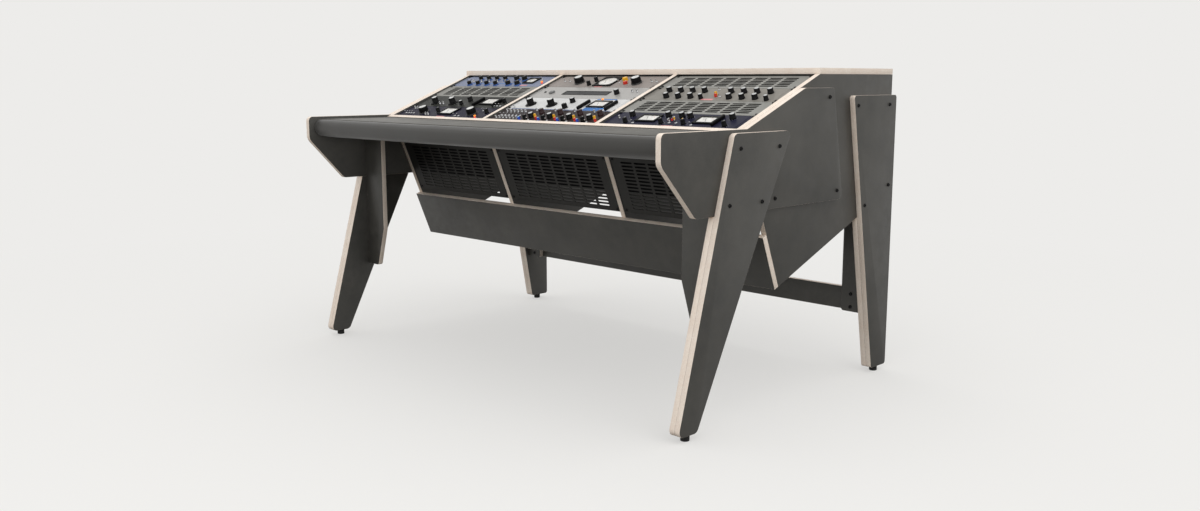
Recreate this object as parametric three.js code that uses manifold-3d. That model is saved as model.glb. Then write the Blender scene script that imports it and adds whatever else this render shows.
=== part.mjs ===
// Studio desk: a worktop between two side frames, with three sloping rack bays behind it.
// Millimetres, +Z up, +X to the right seen from the front, +Y to the rear.
// The origin lies on the floor, under the middle of the desk.
import * as THREE from 'three';
import * as BufferGeometryUtils from 'three/addons/utils/BufferGeometryUtils.js';
import Module from 'manifold-3d';

const wasm = await Module();
wasm.setup();

// Plywood, the gap left between neighbouring pieces, and the running fit of a turning shaft
const ply = 16;
const seat = 0.3;
const runningFit = 0.1;
const overrun = 2;

// Overall sizes
const deskDepth = 1020;
const armTop = 741;
const worktopDrop = 8;
const armLength = 316.5;
const slopeDegrees = 22;
const carcassFront = 451.5;

// Rack bays for 19-inch gear, four panels of two rack units up the slope
const bayCount = 3;
const bayWidth = 485;
const rackUnitHeight = 44.45;
const unitsPerPanel = 2;
const panelsPerBay = 4;
const stackEndGap = 1.2;
const panelRecess = 5;
const panelSideGap = 1.2;
const panelThickness = 3;
const panelGap = 0.8;

// Chassis boxes behind the control panels
const chassisSideGap = 22.5;
const chassisDepth = 210;
const chassisInset = 8;

// Steel angles that carry the panels
const railFlange = 16;
const railWeb = 30;
const railGauge = 2;

// Slotted vent panels: eight columns of slots, folded edges
const sheetGauge = 2;
const foldDepth = 18;
const slotColumns = 8;
const slotColumnBridge = 9.7;
const slotMargin = 39.35;
const slotHeight = 5;
const slotRowBridge = 6.05;
const rackVentRows = 6;
const lowerVentRows = 14;
const lowerVentUnits = 4;
const lowerVentRecess = 2;
const lowerVentDrop = 103;

// Boards that lie on the front edges of the carcass plates
const sillDepth = 95;
const kickDrop = 297;

// Arm panel: a level arm in front, the rack slope behind it, a leaning rear edge
const armFrontDrop = 73;
const armUnderside = 535.5;
const armUnderSetback = 124.5;
const armRise = 98;
const armRearSetback = 324.5;
const armFrontRadius = 14;
const armSlantRadius = 28;
const armUnderRadius = 15;
const armUpperRadius = 30;
const armRearRadius = 10;
const slopeFootRadius = 10;

// Legs: how far their edges lean per unit of height, and their widths at the top
const legBottom = 16;
const frontLegLean = 0.2706;
const frontLegRearLean = 0.501;
const frontLegSetback = 247;
const frontLegTopWidth = 234.5;
const legTopRadius = 15;
const legBottomRadius = 16;
const rearLegLean = 0.183;
const rearLegTop = 817;
const rearLegTopWidth = 225;
const rearLegRadius = 9;

// Levelling feet
const padRadius = 11.5;
const padHeight = 14.5;
const padEdge = 2;
const stemRadius = 5;
const stemGrip = 26;
const stemEndGap = 1;
const footSides = 12;
const frontFootSetback = 96.5;
const rearFootSetback = 39.5;

// Armrest
const restNoseSetback = 15.5;
const restHeight = 57;
const restTopDepth = 29.5;
const restDepth = 60;
const restRadius = 22;
const restBackRadius = 4;
const restEnd = 9;
const restEndSteps = 3;

// Bracing between the side frames
const frontGussetSetback = 208.5;
const frontGussetWidth = 96.5;
const frontGussetFootWidth = 57.5;
const frontGussetHeight = 355;
const frontGussetTaper = 127;
const rearGussetSetback = 95.5;
const rearGussetWidth = 66.5;
const rearGussetBottom = 179.5;
const rearGussetHeight = 380;
const gussetRadius = 8;
const crossbarLift = 1.5;
const crossbarHeight = 68;

// Battens under the front of the top board, one in each bay
const battenSetback = 21.5;
const battenHeight = 30;

// Turning knobs are broad, or slim with a wide skirt. The small knobs are fixed to their panels.
const knobHeight = 21;
const broadKnobRadius = 15;
const broadSkirtRadius = 17;
const slimKnobRadius = 11.5;
const slimSkirtRadius = 18.5;
const knobTaper = 1;
const skirtHeight = 4;
const pointerWidth = 2.4;
const pointerRise = 0.8;
const shaftRadius = 3;
const shaftLength = 9;
const shaftEndGap = 1;
const knobSides = 12;
const smallKnobRadius = 7.2;
const mediumKnobRadius = 8.8;
const smallKnobHeight = 15;
const smallKnobSides = 8;

// Meters and the display slot
const bezelRise = 4;
const bezelBorder = 7;
const glassDepth = 2;

// Levels and planes that follow from the sizes above
const frontY = -deskDepth / 2;
const rearY = deskDepth / 2;
const slope = THREE.MathUtils.degToRad(slopeDegrees);
const alongY = Math.cos(slope);
const alongZ = Math.sin(slope);
const steepness = Math.tan(slope);
const panelPitch = unitsPerPanel * rackUnitHeight;
const panelHeight = panelPitch - panelGap;
const panelWidth = bayWidth - 2 * panelSideGap;
const chassisWidth = bayWidth - 2 * chassisSideGap;
const slotColumnPitch = (panelWidth - 2 * slotMargin + slotColumnBridge) / slotColumns;
const slotLength = slotColumnPitch - slotColumnBridge;
const slopeLength = panelsPerBay * panelPitch + 2 * stackEndGap;
const footY = frontY + armLength;
const worktopZ = armTop - worktopDrop;
const worktopUnder = worktopZ - ply;
const sideIn = (bayCount * bayWidth + (bayCount - 1) * ply) / 2;
const armIn = sideIn + ply + seat;
const outerIn = armIn + ply + seat;
const betweenArms = armIn - seat;

// Finishes
const laminate = { color: 0x3c3c3a, roughness: 0.55, metalness: 0 };
const padding = { color: 0x464642, roughness: 0.8, metalness: 0 };
const steel = { color: 0x9a9c98, roughness: 0.45, metalness: 0.7 };
const zinc = { color: 0x8c8e90, roughness: 0.4, metalness: 0.9 };
const knobBlack = { color: 0x161618, roughness: 0.45, metalness: 0 };
const footBlack = { color: 0x1c1c1c, roughness: 0.7, metalness: 0 };

const desk = new THREE.Group();
const sides = [[-1, 'left'], [1, 'right']];
const bays = ['left', 'middle', 'right'];
const bayCentre = (bay) => (bay - (bayCount - 1) / 2) * (bayWidth + ply);

// A named mesh with a material of its own
function piece(name, geometry, finish) {
  const mesh = new THREE.Mesh(geometry, new THREE.MeshStandardMaterial(finish));
  mesh.name = name;
  return mesh;
}

// From closed geometry to a solid and back
function solidOf(geometry) {
  const bare = geometry.clone();
  bare.deleteAttribute('normal');
  bare.deleteAttribute('uv');
  const merged = BufferGeometryUtils.mergeVertices(bare);
  const vertProperties = Float32Array.from(merged.attributes.position.array);
  const triVerts = Uint32Array.from(merged.index.array);
  return new wasm.Manifold(new wasm.Mesh({ numProp: 3, vertProperties, triVerts }));
}

function geometryOf(solid) {
  const { vertProperties, triVerts } = solid.getMesh();
  const geometry = new THREE.BufferGeometry();
  geometry.setAttribute('position', new THREE.BufferAttribute(Float32Array.from(vertProperties), 3));
  geometry.setIndex(new THREE.BufferAttribute(Uint32Array.from(triVerts), 1));
  geometry.computeVertexNormals();
  return geometry;
}

// A box between two opposite corners
function block([x0, y0, z0], [x1, y1, z1]) {
  const box = new THREE.BoxGeometry(x1 - x0, y1 - y0, z1 - z0);
  return box.translate((x0 + x1) / 2, (y0 + y1) / 2, (z0 + z1) / 2);
}

// A round bar along Z
function bar(radius, [x, y], z0, z1, count) {
  const cylinder = new THREE.CylinderGeometry(radius, radius, z1 - z0, count);
  return cylinder.rotateX(Math.PI / 2).translate(x, y, (z0 + z1) / 2);
}

// A hole whose flats still clear a turning shaft of the given radius
const boreRadius = (radius, count) => (radius + runningFit) / Math.cos(Math.PI / count);

// A flat outline whose corners [a, b, radius] are rounded by arcs
function roundedShape(corners) {
  const shape = new THREE.Shape();
  const pointAt = (index) => new THREE.Vector2(...corners[(index + corners.length) % corners.length]);
  corners.forEach(([, , radius], index) => {
    const corner = pointAt(index);
    if (radius === 0) {
      if (index === 0) shape.moveTo(corner.x, corner.y);
      else shape.lineTo(corner.x, corner.y);
      return;
    }
    const back = pointAt(index - 1).sub(corner).normalize();
    const ahead = pointAt(index + 1).sub(corner).normalize();
    const halfAngle = Math.acos(back.dot(ahead)) / 2;
    const reach = radius / Math.tan(halfAngle);
    const bisector = back.clone().add(ahead).normalize();
    const middle = corner.clone().addScaledVector(bisector, radius / Math.sin(halfAngle));
    const start = corner.clone().addScaledVector(back, reach).sub(middle);
    const end = corner.clone().addScaledVector(ahead, reach).sub(middle);
    shape.absarc(middle.x, middle.y, radius, start.angle(), end.angle(), back.cross(ahead) > 0);
  });
  return shape;
}

function extruded(corners, depth) {
  const options = { depth, bevelEnabled: false, curveSegments: 2 };
  return new THREE.ExtrudeGeometry(roundedShape(corners), options);
}

// An outline in Y and Z, made thick along +X
function sidePlate(corners, thickness = ply) {
  return extruded(corners, thickness).rotateX(Math.PI / 2).rotateZ(Math.PI / 2);
}

// The right-hand plate stands with its inner face at x = inner, the left-hand one mirrors its place
function placeSide(name, geometry, inner, side) {
  const mesh = piece(name, geometry, laminate);
  mesh.position.x = side > 0 ? inner : -inner - ply;
  desk.add(mesh);
}

// The point that lies s up the slope from its foot, and out of the slope by w
const onSlope = (s, w) => [footY + s * alongY - w * alongZ, armTop + s * alongZ + w * alongY];

// Carcass: two sides and two dividers of one outline
const [lowFrontY, lowFrontZ] = onSlope(0, -carcassFront);
const [slopeEndY, carcassTop] = onSlope(slopeLength, 0);
const underAt = (y) => lowFrontZ + (y - lowFrontY) * steepness;
const carcassOutline = [
  [footY, armTop, 0],
  [lowFrontY, lowFrontZ, 0],
  [rearY, underAt(rearY), 0],
  [rearY, carcassTop, 0],
  [slopeEndY, carcassTop, 0],
];

function addCarcass() {
  for (const [side, hand] of sides) {
    placeSide(`carcass_side_${hand}`, sidePlate(carcassOutline), sideIn, side);
    placeSide(`divider_${hand}`, sidePlate(carcassOutline), bayWidth / 2, side);
  }
  const low = [-sideIn - ply, slopeEndY, carcassTop + seat];
  const high = [sideIn + ply, rearY, carcassTop + seat + ply];
  desk.add(piece('top_board', block(low, high), laminate));
  const battenY = slopeEndY + battenSetback;
  bays.forEach((bay, index) => {
    const reach = bayWidth / 2 - seat;
    const lowest = [bayCentre(index) - reach, battenY, carcassTop - battenHeight];
    const highest = [bayCentre(index) + reach, battenY + ply, carcassTop];
    desk.add(piece(`top_batten_${bay}`, block(lowest, highest), laminate));
  });
}

// Arm panel, front leg and rear leg outlines
const armRearY = rearY - armRearSetback;
const armOutline = [
  [frontY, armTop, armFrontRadius],
  [frontY, armTop - armFrontDrop, armSlantRadius],
  [frontY + armUnderSetback, armUnderside, armUnderRadius],
  [armRearY + (armTop + armRise - armUnderside) * rearLegLean, armUnderside, armUnderRadius],
  [armRearY, armTop + armRise, armRearRadius],
  [footY + armRise / steepness, armTop + armRise, armUpperRadius],
  [footY, armTop, slopeFootRadius],
];
const legTopFrontY = frontY + frontLegSetback;
const frontLegFrontAt = (z) => legTopFrontY - (worktopZ - z) * frontLegLean;
const frontLegRearAt = (z) => legTopFrontY + frontLegTopWidth - (worktopZ - z) * frontLegRearLean;
const frontLegOutline = (top, topRadius) => [
  [frontLegRearAt(top), top, topRadius],
  [frontLegFrontAt(top), top, topRadius],
  [frontLegFrontAt(legBottom), legBottom, legBottomRadius],
  [frontLegRearAt(legBottom), legBottom, legBottomRadius],
];
const rearLegFrontAt = (z) => rearY - rearLegTopWidth + (rearLegTop - z) * rearLegLean;
const rearLegOutline = [
  [rearY, rearLegTop, rearLegRadius],
  [rearLegFrontAt(rearLegTop), rearLegTop, rearLegRadius],
  [rearLegFrontAt(legBottom), legBottom, rearLegRadius],
  [rearY, legBottom, rearLegRadius],
];

// The inner layer of the rear leg ends under the sloping lower edge of the carcass
const underGap = seat / alongY;
const innerFrontZ = (underAt(rearLegFrontAt(0)) - underGap) / (1 + rearLegLean * steepness);
const rearInnerOutline = [
  [rearY, underAt(rearY) - underGap, 0],
  [rearLegFrontAt(innerFrontZ), innerFrontZ, 0],
  [rearLegFrontAt(legBottom), legBottom, rearLegRadius],
  [rearY, legBottom, rearLegRadius],
];

// Each foot stem turns in a hole that is cut half into each of the two layers of its leg
const feet = {
  front: { x: outerIn - seat / 2, y: frontY + frontFootSetback },
  rear: { x: armIn - seat / 2, y: rearY - rearFootSetback },
};

function drilled(geometry, x, y) {
  const top = legBottom + stemGrip + stemEndGap;
  const hole = bar(boreRadius(stemRadius, footSides), [x, y], legBottom - overrun, top, footSides);
  return geometryOf(solidOf(geometry).subtract(solidOf(hole)));
}

function footGeometry() {
  const profile = [
    [0, 0],
    [padRadius - padEdge, 0],
    [padRadius, padEdge],
    [padRadius, padHeight - padEdge],
    [padRadius - padEdge, padHeight],
    [stemRadius, padHeight],
    [stemRadius, legBottom + stemGrip],
    [0, legBottom + stemGrip],
  ].map(([radius, height]) => new THREE.Vector2(radius, height));
  return new THREE.LatheGeometry(profile, footSides).rotateX(Math.PI / 2);
}

function addSideFrames() {
  const legLayers = [
    ['front_leg_outer', frontLegOutline(worktopZ, legTopRadius), outerIn, feet.front],
    ['front_leg_inner', frontLegOutline(armUnderside - seat, 0), armIn, feet.front],
    ['rear_leg_outer', rearLegOutline, armIn, feet.rear],
    ['rear_leg_inner', rearInnerOutline, sideIn, feet.rear],
  ];
  for (const [side, hand] of sides) {
    placeSide(`arm_panel_${hand}`, sidePlate(armOutline), armIn, side);
    for (const [name, outline, inner, foot] of legLayers) {
      const holeX = side > 0 ? foot.x - inner : inner + ply - foot.x;
      placeSide(`${name}_${hand}`, drilled(sidePlate(outline), holeX, foot.y), inner, side);
    }
    for (const [end, foot] of Object.entries(feet)) {
      const mesh = piece(`foot_${end}_${hand}`, footGeometry(), footBlack);
      mesh.position.set(side * foot.x, foot.y, 0);
      desk.add(mesh);
    }
  }
}

// Worktop: its rear edge is cut to the lean of the sill board, and stays clear below the sill's top edge
const noseY = frontY + restNoseSetback;
const creaseY = noseY + restTopDepth;
const [sillFaceY] = onSlope(-ply - seat, 0);
const worktopRearAt = (z) => sillFaceY - seat + (worktopZ - z) * steepness;

function addWorktop() {
  const outline = [
    [creaseY + seat, worktopZ, 0],
    [creaseY + seat, worktopUnder, 0],
    [worktopRearAt(worktopUnder), worktopUnder, 0],
    [worktopRearAt(worktopZ), worktopZ, 0],
  ];
  const mesh = piece('desktop', sidePlate(outline, 2 * betweenArms), laminate);
  mesh.position.x = -betweenArms;
  desk.add(mesh);
}

// Outlines of equal count, [x, y, z] a point, joined along +X into one closed skin
function loft(rings) {
  const count = rings[0].length;
  const last = (rings.length - 1) * count;
  const triangles = [];
  for (let start = 0; start < last; start += count) {
    for (let index = 0; index < count; index += 1) {
      const a = start + index;
      const b = start + (index + 1) % count;
      triangles.push(a, b, a + count, b, b + count, a + count);
    }
  }
  const flat = rings[0].map(([, y, z]) => new THREE.Vector2(y, z));
  for (const [a, b, c] of THREE.ShapeUtils.triangulateShape(flat, [])) {
    triangles.push(c, b, a, last + a, last + b, last + c);
  }
  const geometry = new THREE.BufferGeometry();
  geometry.setAttribute('position', new THREE.Float32BufferAttribute(rings.flat(2), 3));
  geometry.setIndex(triangles);
  geometry.computeVertexNormals();
  return geometry;
}

// Armrest: a padded roll that laps under the front edge of the worktop, rounded off at its ends
function addArmrest() {
  const restBottom = worktopZ - restHeight;
  const outline = roundedShape([
    [creaseY, worktopZ, 0],
    [noseY, worktopZ, restRadius],
    [noseY, restBottom, restRadius],
    [noseY + restDepth, restBottom, restBackRadius],
    [noseY + restDepth, worktopUnder - seat, 0],
    [creaseY, worktopUnder - seat, 0],
  ]).getPoints(2);
  const middleZ = (worktopZ + restBottom) / 2;
  const middleY = noseY + restRadius;
  const quarter = Math.PI / 2;
  const steps = Array.from({ length: restEndSteps + 1 }, (_, step) => step / restEndSteps);
  const stations = steps.map((share) => share * quarter).map((turn) => ({
    x: betweenArms - restEnd * (1 - Math.cos(turn)),
    keep: 1 - (restEnd * (1 - Math.sin(turn))) / (restHeight / 2),
  }));
  const ring = (x, keep) => outline.map(({ x: y, y: z }) => (
    [x, middleY + (y - middleY) * keep, middleZ + (z - middleZ) * keep]
  ));
  const rings = [
    ...stations.map(({ x, keep }) => ring(-x, keep)),
    ...stations.reverse().map(({ x, keep }) => ring(x, keep)),
  ];
  desk.add(piece('armrest', loft(rings), padding));
}

// Gussets are outlines in X and Z, made thick along +Y from their front face
function crossPlate(corners, frontFace) {
  return extruded(corners, ply).rotateX(Math.PI / 2).translate(0, frontFace + ply, 0);
}

function addBracing() {
  const gussetTop = worktopUnder - seat;
  const gussetKnee = gussetTop - frontGussetHeight;
  const gussetFoot = gussetKnee - frontGussetTaper;
  const rearGussetY = rearY - rearGussetSetback;
  for (const [side, hand] of sides) {
    const frontCorners = [
      [side * betweenArms, gussetTop, 0],
      [side * (betweenArms - frontGussetWidth), gussetTop, 0],
      [side * (betweenArms - frontGussetWidth), gussetKnee, gussetRadius],
      [side * (betweenArms - frontGussetFootWidth), gussetFoot, gussetRadius],
      [side * betweenArms, gussetFoot, 0],
    ];
    const rearOuter = side * (sideIn - seat);
    const rearInner = side * (sideIn - seat - rearGussetWidth);
    const rearCorners = [
      [rearOuter, rearGussetBottom + rearGussetHeight, 0],
      [rearInner, rearGussetBottom + rearGussetHeight, gussetRadius],
      [rearInner, rearGussetBottom, gussetRadius],
      [rearOuter, rearGussetBottom, 0],
    ];
    const frontFace = frontY + frontGussetSetback;
    desk.add(piece(`front_gusset_${hand}`, crossPlate(frontCorners, frontFace), laminate));
    desk.add(piece(`rear_gusset_${hand}`, crossPlate(rearCorners, rearGussetY), laminate));
  }
  const barY = rearGussetY + ply + seat;
  const barZ = rearGussetBottom + crossbarLift;
  const bracing = block([seat - sideIn, barY, barZ], [sideIn - seat, barY + ply, barZ + crossbarHeight]);
  desk.add(piece('rear_crossbar', bracing, laminate));
}

// Everything below lies in the frame of the slope: x across, y up the slope, z out of it
const rack = new THREE.Group();
rack.position.set(0, footY, armTop);
rack.rotation.x = slope;
desk.add(rack);

// Sill and kick boards lie on the square lower front of the carcass
function addFrontBoards() {
  const boards = [['sill_board', 0, sillDepth], ['kick_board', kickDrop, carcassFront]];
  for (const [name, from, to] of boards) {
    const low = [-betweenArms, -seat - ply, -to];
    const high = [betweenArms, -seat, -from];
    rack.add(piece(name, block(low, high), laminate));
  }
}

// One steel angle on each wall of a bay, its flange behind the ears of the panels
const panelBack = -panelRecess - panelThickness;

function addRails() {
  bays.forEach((bay, index) => {
    for (const [side, hand] of sides) {
      const wall = bayCentre(index) + side * (bayWidth / 2 - seat);
      const face = panelBack - seat;
      const corners = [
        [wall, face],
        [wall - side * railFlange, face],
        [wall - side * railFlange, face - railGauge],
        [wall - side * railGauge, face - railGauge],
        [wall - side * railGauge, face - railWeb],
        [wall, face - railWeb],
      ].map(([x, z]) => [x, z, 0]);
      const rail = extruded(corners, slopeLength - 2 * stackEndGap).rotateX(Math.PI / 2);
      rail.translate(0, slopeLength - stackEndGap, 0);
      rack.add(piece(`rack_rail_${bay}_bay_${hand}`, rail, zinc));
    }
  });
}

// A folded sheet with rows of slots. Its front face is z = 0 and its lower edge y = 0.
function ventGeometry(width, height, rows, foldsAcross) {
  const half = width / 2;
  let blank = solidOf(block([-half, 0, -sheetGauge], [half, height, 0]));
  const folds = foldsAcross
    ? [[[-chassisWidth / 2, 0], [chassisWidth / 2, sheetGauge]],
      [[-chassisWidth / 2, height - sheetGauge], [chassisWidth / 2, height]]]
    : [[[-half, 0], [sheetGauge - half, height]], [[half - sheetGauge, 0], [half, height]]];
  for (const [[x0, y0], [x1, y1]] of folds) {
    blank = blank.add(solidOf(block([x0, y0, -foldDepth], [x1, y1, 0])));
  }
  const slots = [];
  for (let row = 0; row < rows; row += 1) {
    for (let column = 0; column < slotColumns; column += 1) {
      const x = (column - (slotColumns - 1) / 2) * slotColumnPitch;
      const y = height / 2 + (row - (rows - 1) / 2) * (slotHeight + slotRowBridge);
      const low = [x - slotLength / 2, y - slotHeight / 2, -sheetGauge - overrun];
      const high = [x + slotLength / 2, y + slotHeight / 2, overrun];
      slots.push(block(low, high));
    }
  }
  const cutter = solidOf(BufferGeometryUtils.mergeGeometries(slots));
  return geometryOf(blank.subtract(cutter));
}

function addLowerVents() {
  const width = bayWidth - 2 * seat;
  const height = lowerVentUnits * rackUnitHeight;
  bays.forEach((bay, index) => {
    const mesh = piece(`lower_vent_${bay}`, ventGeometry(width, height, lowerVentRows, false), steel);
    mesh.rotation.x = Math.PI / 2;
    mesh.position.set(bayCentre(index), lowerVentRecess, -lowerVentDrop - height);
    rack.add(mesh);
  });
}

// A turning knob: shaft, skirt, tapered body and a raised pointer line. z = 0 is its panel's face.
function knobGeometry({ radius: knobRadius, skirt: skirtRadius }) {
  const profile = [
    [0, -shaftLength],
    [shaftRadius, -shaftLength],
    [shaftRadius, seat],
    [skirtRadius, seat],
    [skirtRadius, skirtHeight / 2],
    [knobRadius, skirtHeight],
    [knobRadius - knobTaper, knobHeight],
    [0, knobHeight],
  ].map(([radius, height]) => new THREE.Vector2(radius, height));
  const body = new THREE.LatheGeometry(profile, knobSides).rotateX(Math.PI / 2);
  const low = [-pointerWidth / 2, 0, knobHeight / 2];
  const high = [pointerWidth / 2, knobRadius, knobHeight + pointerRise];
  return geometryOf(solidOf(body).add(solidOf(block(low, high))));
}

// A raised meter with a sunk glass, given by shares of its panel
function withMeter(solid, [xShare, yShare, widthShare, heightShare]) {
  const x = (xShare - 1 / 2) * panelWidth;
  const y = yShare * panelHeight;
  const across = (widthShare * panelWidth) / 2;
  const up = (heightShare * panelHeight) / 2;
  const bezel = block([x - across, y - up, -panelThickness], [x + across, y + up, bezelRise]);
  const glass = block(
    [x - across + bezelBorder, y - up + bezelBorder, bezelRise - glassDepth],
    [x + across - bezelBorder, y + up - bezelBorder, bezelRise + overrun],
  );
  return solid.add(solidOf(bezel)).subtract(solidOf(glass));
}

// A control unit: panel, chassis box, small knobs in rows, meters, and holes for turning knobs
function unitGeometry({ knobRowShares = [], meterShares = [], turningShares = [], displayShares = [] }) {
  const half = panelWidth / 2;
  const depth = -panelThickness - chassisDepth;
  let unit = solidOf(block([-half, 0, -panelThickness], [half, panelHeight, 0]));
  const chassis = block(
    [-chassisWidth / 2, chassisInset, depth],
    [chassisWidth / 2, panelHeight - chassisInset, -panelThickness / 2],
  );
  unit = unit.add(solidOf(chassis));
  for (const shares of meterShares) unit = withMeter(unit, shares);
  for (const [firstShare, lastShare, yShare, count, knobRadius = smallKnobRadius] of knobRowShares) {
    for (let index = 0; index < count; index += 1) {
      const share = firstShare + (lastShare - firstShare) * (index / Math.max(count - 1, 1));
      const at = [(share - 1 / 2) * panelWidth, yShare * panelHeight];
      const knob = bar(knobRadius, at, -panelThickness, smallKnobHeight, smallKnobSides);
      unit = unit.add(solidOf(knob));
    }
  }
  for (const [xShare, yShare] of turningShares) {
    const at = [(xShare - 1 / 2) * panelWidth, yShare * panelHeight];
    const radius = boreRadius(shaftRadius, knobSides);
    const bore = bar(radius, at, -shaftLength - shaftEndGap, overrun, knobSides);
    unit = unit.subtract(solidOf(bore));
  }
  for (const [x0Share, x1Share, y0Share, y1Share] of displayShares) {
    const low = [(x0Share - 1 / 2) * panelWidth, y0Share * panelHeight, -glassDepth];
    const high = [(x1Share - 1 / 2) * panelWidth, y1Share * panelHeight, overrun];
    unit = unit.subtract(solidOf(block(low, high)));
  }
  return geometryOf(unit);
}

// What each slot of each bay holds, from the lowest to the highest.
// Shares count from the left and lower edges of a panel.
// A knob row is first x, last x, y, count and at times a radius; a meter is x, y, width and height.
const vent = 'vent';
const broad = { radius: broadKnobRadius, skirt: broadSkirtRadius };
const slim = { radius: slimKnobRadius, skirt: slimSkirtRadius };
const bayContents = [
  [
    {
      color: 0x34304a,
      turning: broad,
      turningShares: [[0.259, 0.435], [0.796, 0.435]],
      knobRowShares: [[0.403, 0.403, 0.53, 1], [0.93, 0.93, 0.55, 1]],
      meterShares: [[0.515, 0.576, 0.15, 0.58]],
    },
    {
      color: 0x4a4d47,
      turning: slim,
      turningShares: [[0.19, 0.33], [0.39, 0.33]],
      knobRowShares: [
        [0.511, 0.511, 0.22, 1],
        [0.531, 0.531, 0.6, 1, mediumKnobRadius],
        [0.92, 0.92, 0.5, 1],
      ],
      meterShares: [[0.765, 0.526, 0.145, 0.56]],
    },
    vent,
    {
      color: 0x7d8ca0,
      knobRowShares: [
        [0.224, 0.501, 0.63, 4, mediumKnobRadius], [0.629, 0.713, 0.62, 2, mediumKnobRadius],
        [0.19, 0.487, 0.14, 4, mediumKnobRadius], [0.623, 0.722, 0.16, 2, mediumKnobRadius],
      ],
      meterShares: [[0.8, 0.54, 0.11, 0.5]],
    },
  ],
  [
    {
      color: 0x453c3c,
      knobRowShares: [
        [0.409, 0.93, 0.69, 4, mediumKnobRadius],
        [0.371, 0.894, 0.37, 4, mediumKnobRadius],
        [0.349, 0.87, 0.18, 4],
      ],
    },
    {
      color: 0xc4c5c0,
      turning: slim,
      turningShares: [[0.17, 0.39], [0.37, 0.38]],
      knobRowShares: [
        [0.532, 0.532, 0.17, 1, mediumKnobRadius],
        [0.515, 0.515, 0.67, 1, mediumKnobRadius],
      ],
      meterShares: [[0.775, 0.52, 0.15, 0.52]],
    },
    {
      color: 0xb9bab6,
      knobRowShares: [[0.771, 0.771, 0.45, 1, mediumKnobRadius]],
      displayShares: [[0.29, 0.7, 0.31, 0.61]],
    },
    {
      color: 0x84847f,
      turning: broad,
      turningShares: [[0.27, 0.4], [0.791, 0.37]],
      knobRowShares: [[0.396, 0.396, 0.18, 1], [0.405, 0.405, 0.54, 1]],
      meterShares: [[0.52, 0.47, 0.16, 0.78]],
    },
  ],
  [
    {
      color: 0x3a3a50,
      knobRowShares: [
        [0.147, 0.147, 0.74, 1, mediumKnobRadius], [0.17, 0.17, 0.23, 1],
        [0.42, 0.42, 0.76, 1, mediumKnobRadius], [0.437, 0.437, 0.25, 1],
        [0.522, 0.582, 0.74, 2, mediumKnobRadius], [0.6, 0.6, 0.25, 1],
        [0.87, 0.87, 0.76, 1, mediumKnobRadius], [0.885, 0.885, 0.23, 1],
      ],
      meterShares: [[0.3, 0.56, 0.15, 0.5], [0.725, 0.56, 0.15, 0.5]],
    },
    vent,
    {
      color: 0x9a9b90,
      knobRowShares: [
        [0.134, 0.406, 0.68, 4, mediumKnobRadius], [0.603, 0.875, 0.65, 4, mediumKnobRadius],
        [0.18, 0.366, 0.2, 3, mediumKnobRadius], [0.449, 0.449, 0.15, 1],
        [0.646, 0.826, 0.2, 3, mediumKnobRadius], [0.913, 0.913, 0.11, 1],
      ],
    },
    vent,
  ],
];

function addRackPanels() {
  bayContents.forEach((slots, bay) => {
    slots.forEach((content, level) => {
      const place = new THREE.Group();
      place.position.set(bayCentre(bay), stackEndGap + level * panelPitch + panelGap / 2, -panelRecess);
      rack.add(place);
      const slotName = `${bays[bay]}_bay_${level + 1}`;
      if (content === vent) {
        const sheet = ventGeometry(panelWidth, panelHeight, rackVentRows, true);
        place.add(piece(`rack_vent_${slotName}`, sheet, steel));
        return;
      }
      const finish = { color: content.color, roughness: 0.45, metalness: 0.3 };
      place.add(piece(`rack_unit_${slotName}`, unitGeometry(content), finish));
      (content.turningShares ?? []).forEach(([xShare, yShare], index) => {
        const shape = knobGeometry(content.turning);
        const knob = piece(`knob_${slotName}_${index + 1}`, shape, knobBlack);
        knob.position.set((xShare - 1 / 2) * panelWidth, yShare * panelHeight, 0);
        place.add(knob);
      });
    });
  });
}

addCarcass();
addSideFrames();
addWorktop();
addArmrest();
addBracing();
addFrontBoards();
addRails();
addLowerVents();
addRackPanels();

export default desk;
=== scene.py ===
import bpy
import bmesh
import math
from mathutils import Matrix, Vector


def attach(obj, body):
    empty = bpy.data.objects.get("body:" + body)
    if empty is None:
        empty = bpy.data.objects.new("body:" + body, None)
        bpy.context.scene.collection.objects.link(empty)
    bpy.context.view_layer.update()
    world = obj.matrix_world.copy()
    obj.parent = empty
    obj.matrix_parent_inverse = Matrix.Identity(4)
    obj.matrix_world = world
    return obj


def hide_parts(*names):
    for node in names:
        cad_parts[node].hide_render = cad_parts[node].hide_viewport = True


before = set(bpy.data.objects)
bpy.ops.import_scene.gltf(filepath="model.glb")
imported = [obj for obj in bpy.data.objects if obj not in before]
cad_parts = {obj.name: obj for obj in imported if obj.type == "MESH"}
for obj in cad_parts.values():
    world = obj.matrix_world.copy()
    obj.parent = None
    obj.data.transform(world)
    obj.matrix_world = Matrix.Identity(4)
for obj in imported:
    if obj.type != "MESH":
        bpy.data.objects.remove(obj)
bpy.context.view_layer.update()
scene = bpy.context.scene
scene.view_settings.view_transform = "Standard"

# camera, as the photograph was taken
viewpoint = {"place": (2.3781, -2.2984, 0.8617), "turn": (80.59, 0, 45.12), "lens": 31.93}


def placeCamera():
    bpy.ops.object.camera_add(
        location=viewpoint["place"], rotation=[math.radians(a) for a in viewpoint["turn"]]
    )
    camera = bpy.context.object
    camera.data.sensor_fit = "HORIZONTAL"
    camera.data.sensor_width = 36
    camera.data.lens = viewpoint["lens"]
    camera.data.clip_start = 0.05
    camera.data.clip_end = 200
    scene.camera = camera


placeCamera()
print("camera placed")


# shader tools
def fromScreen(red, green, blue):
    def channel(value):
        value = value / 255
        return value / 12.92 if value <= 0.04045 else ((value + 0.055) / 1.055) ** 2.4

    return (channel(red), channel(green), channel(blue), 1)


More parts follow.
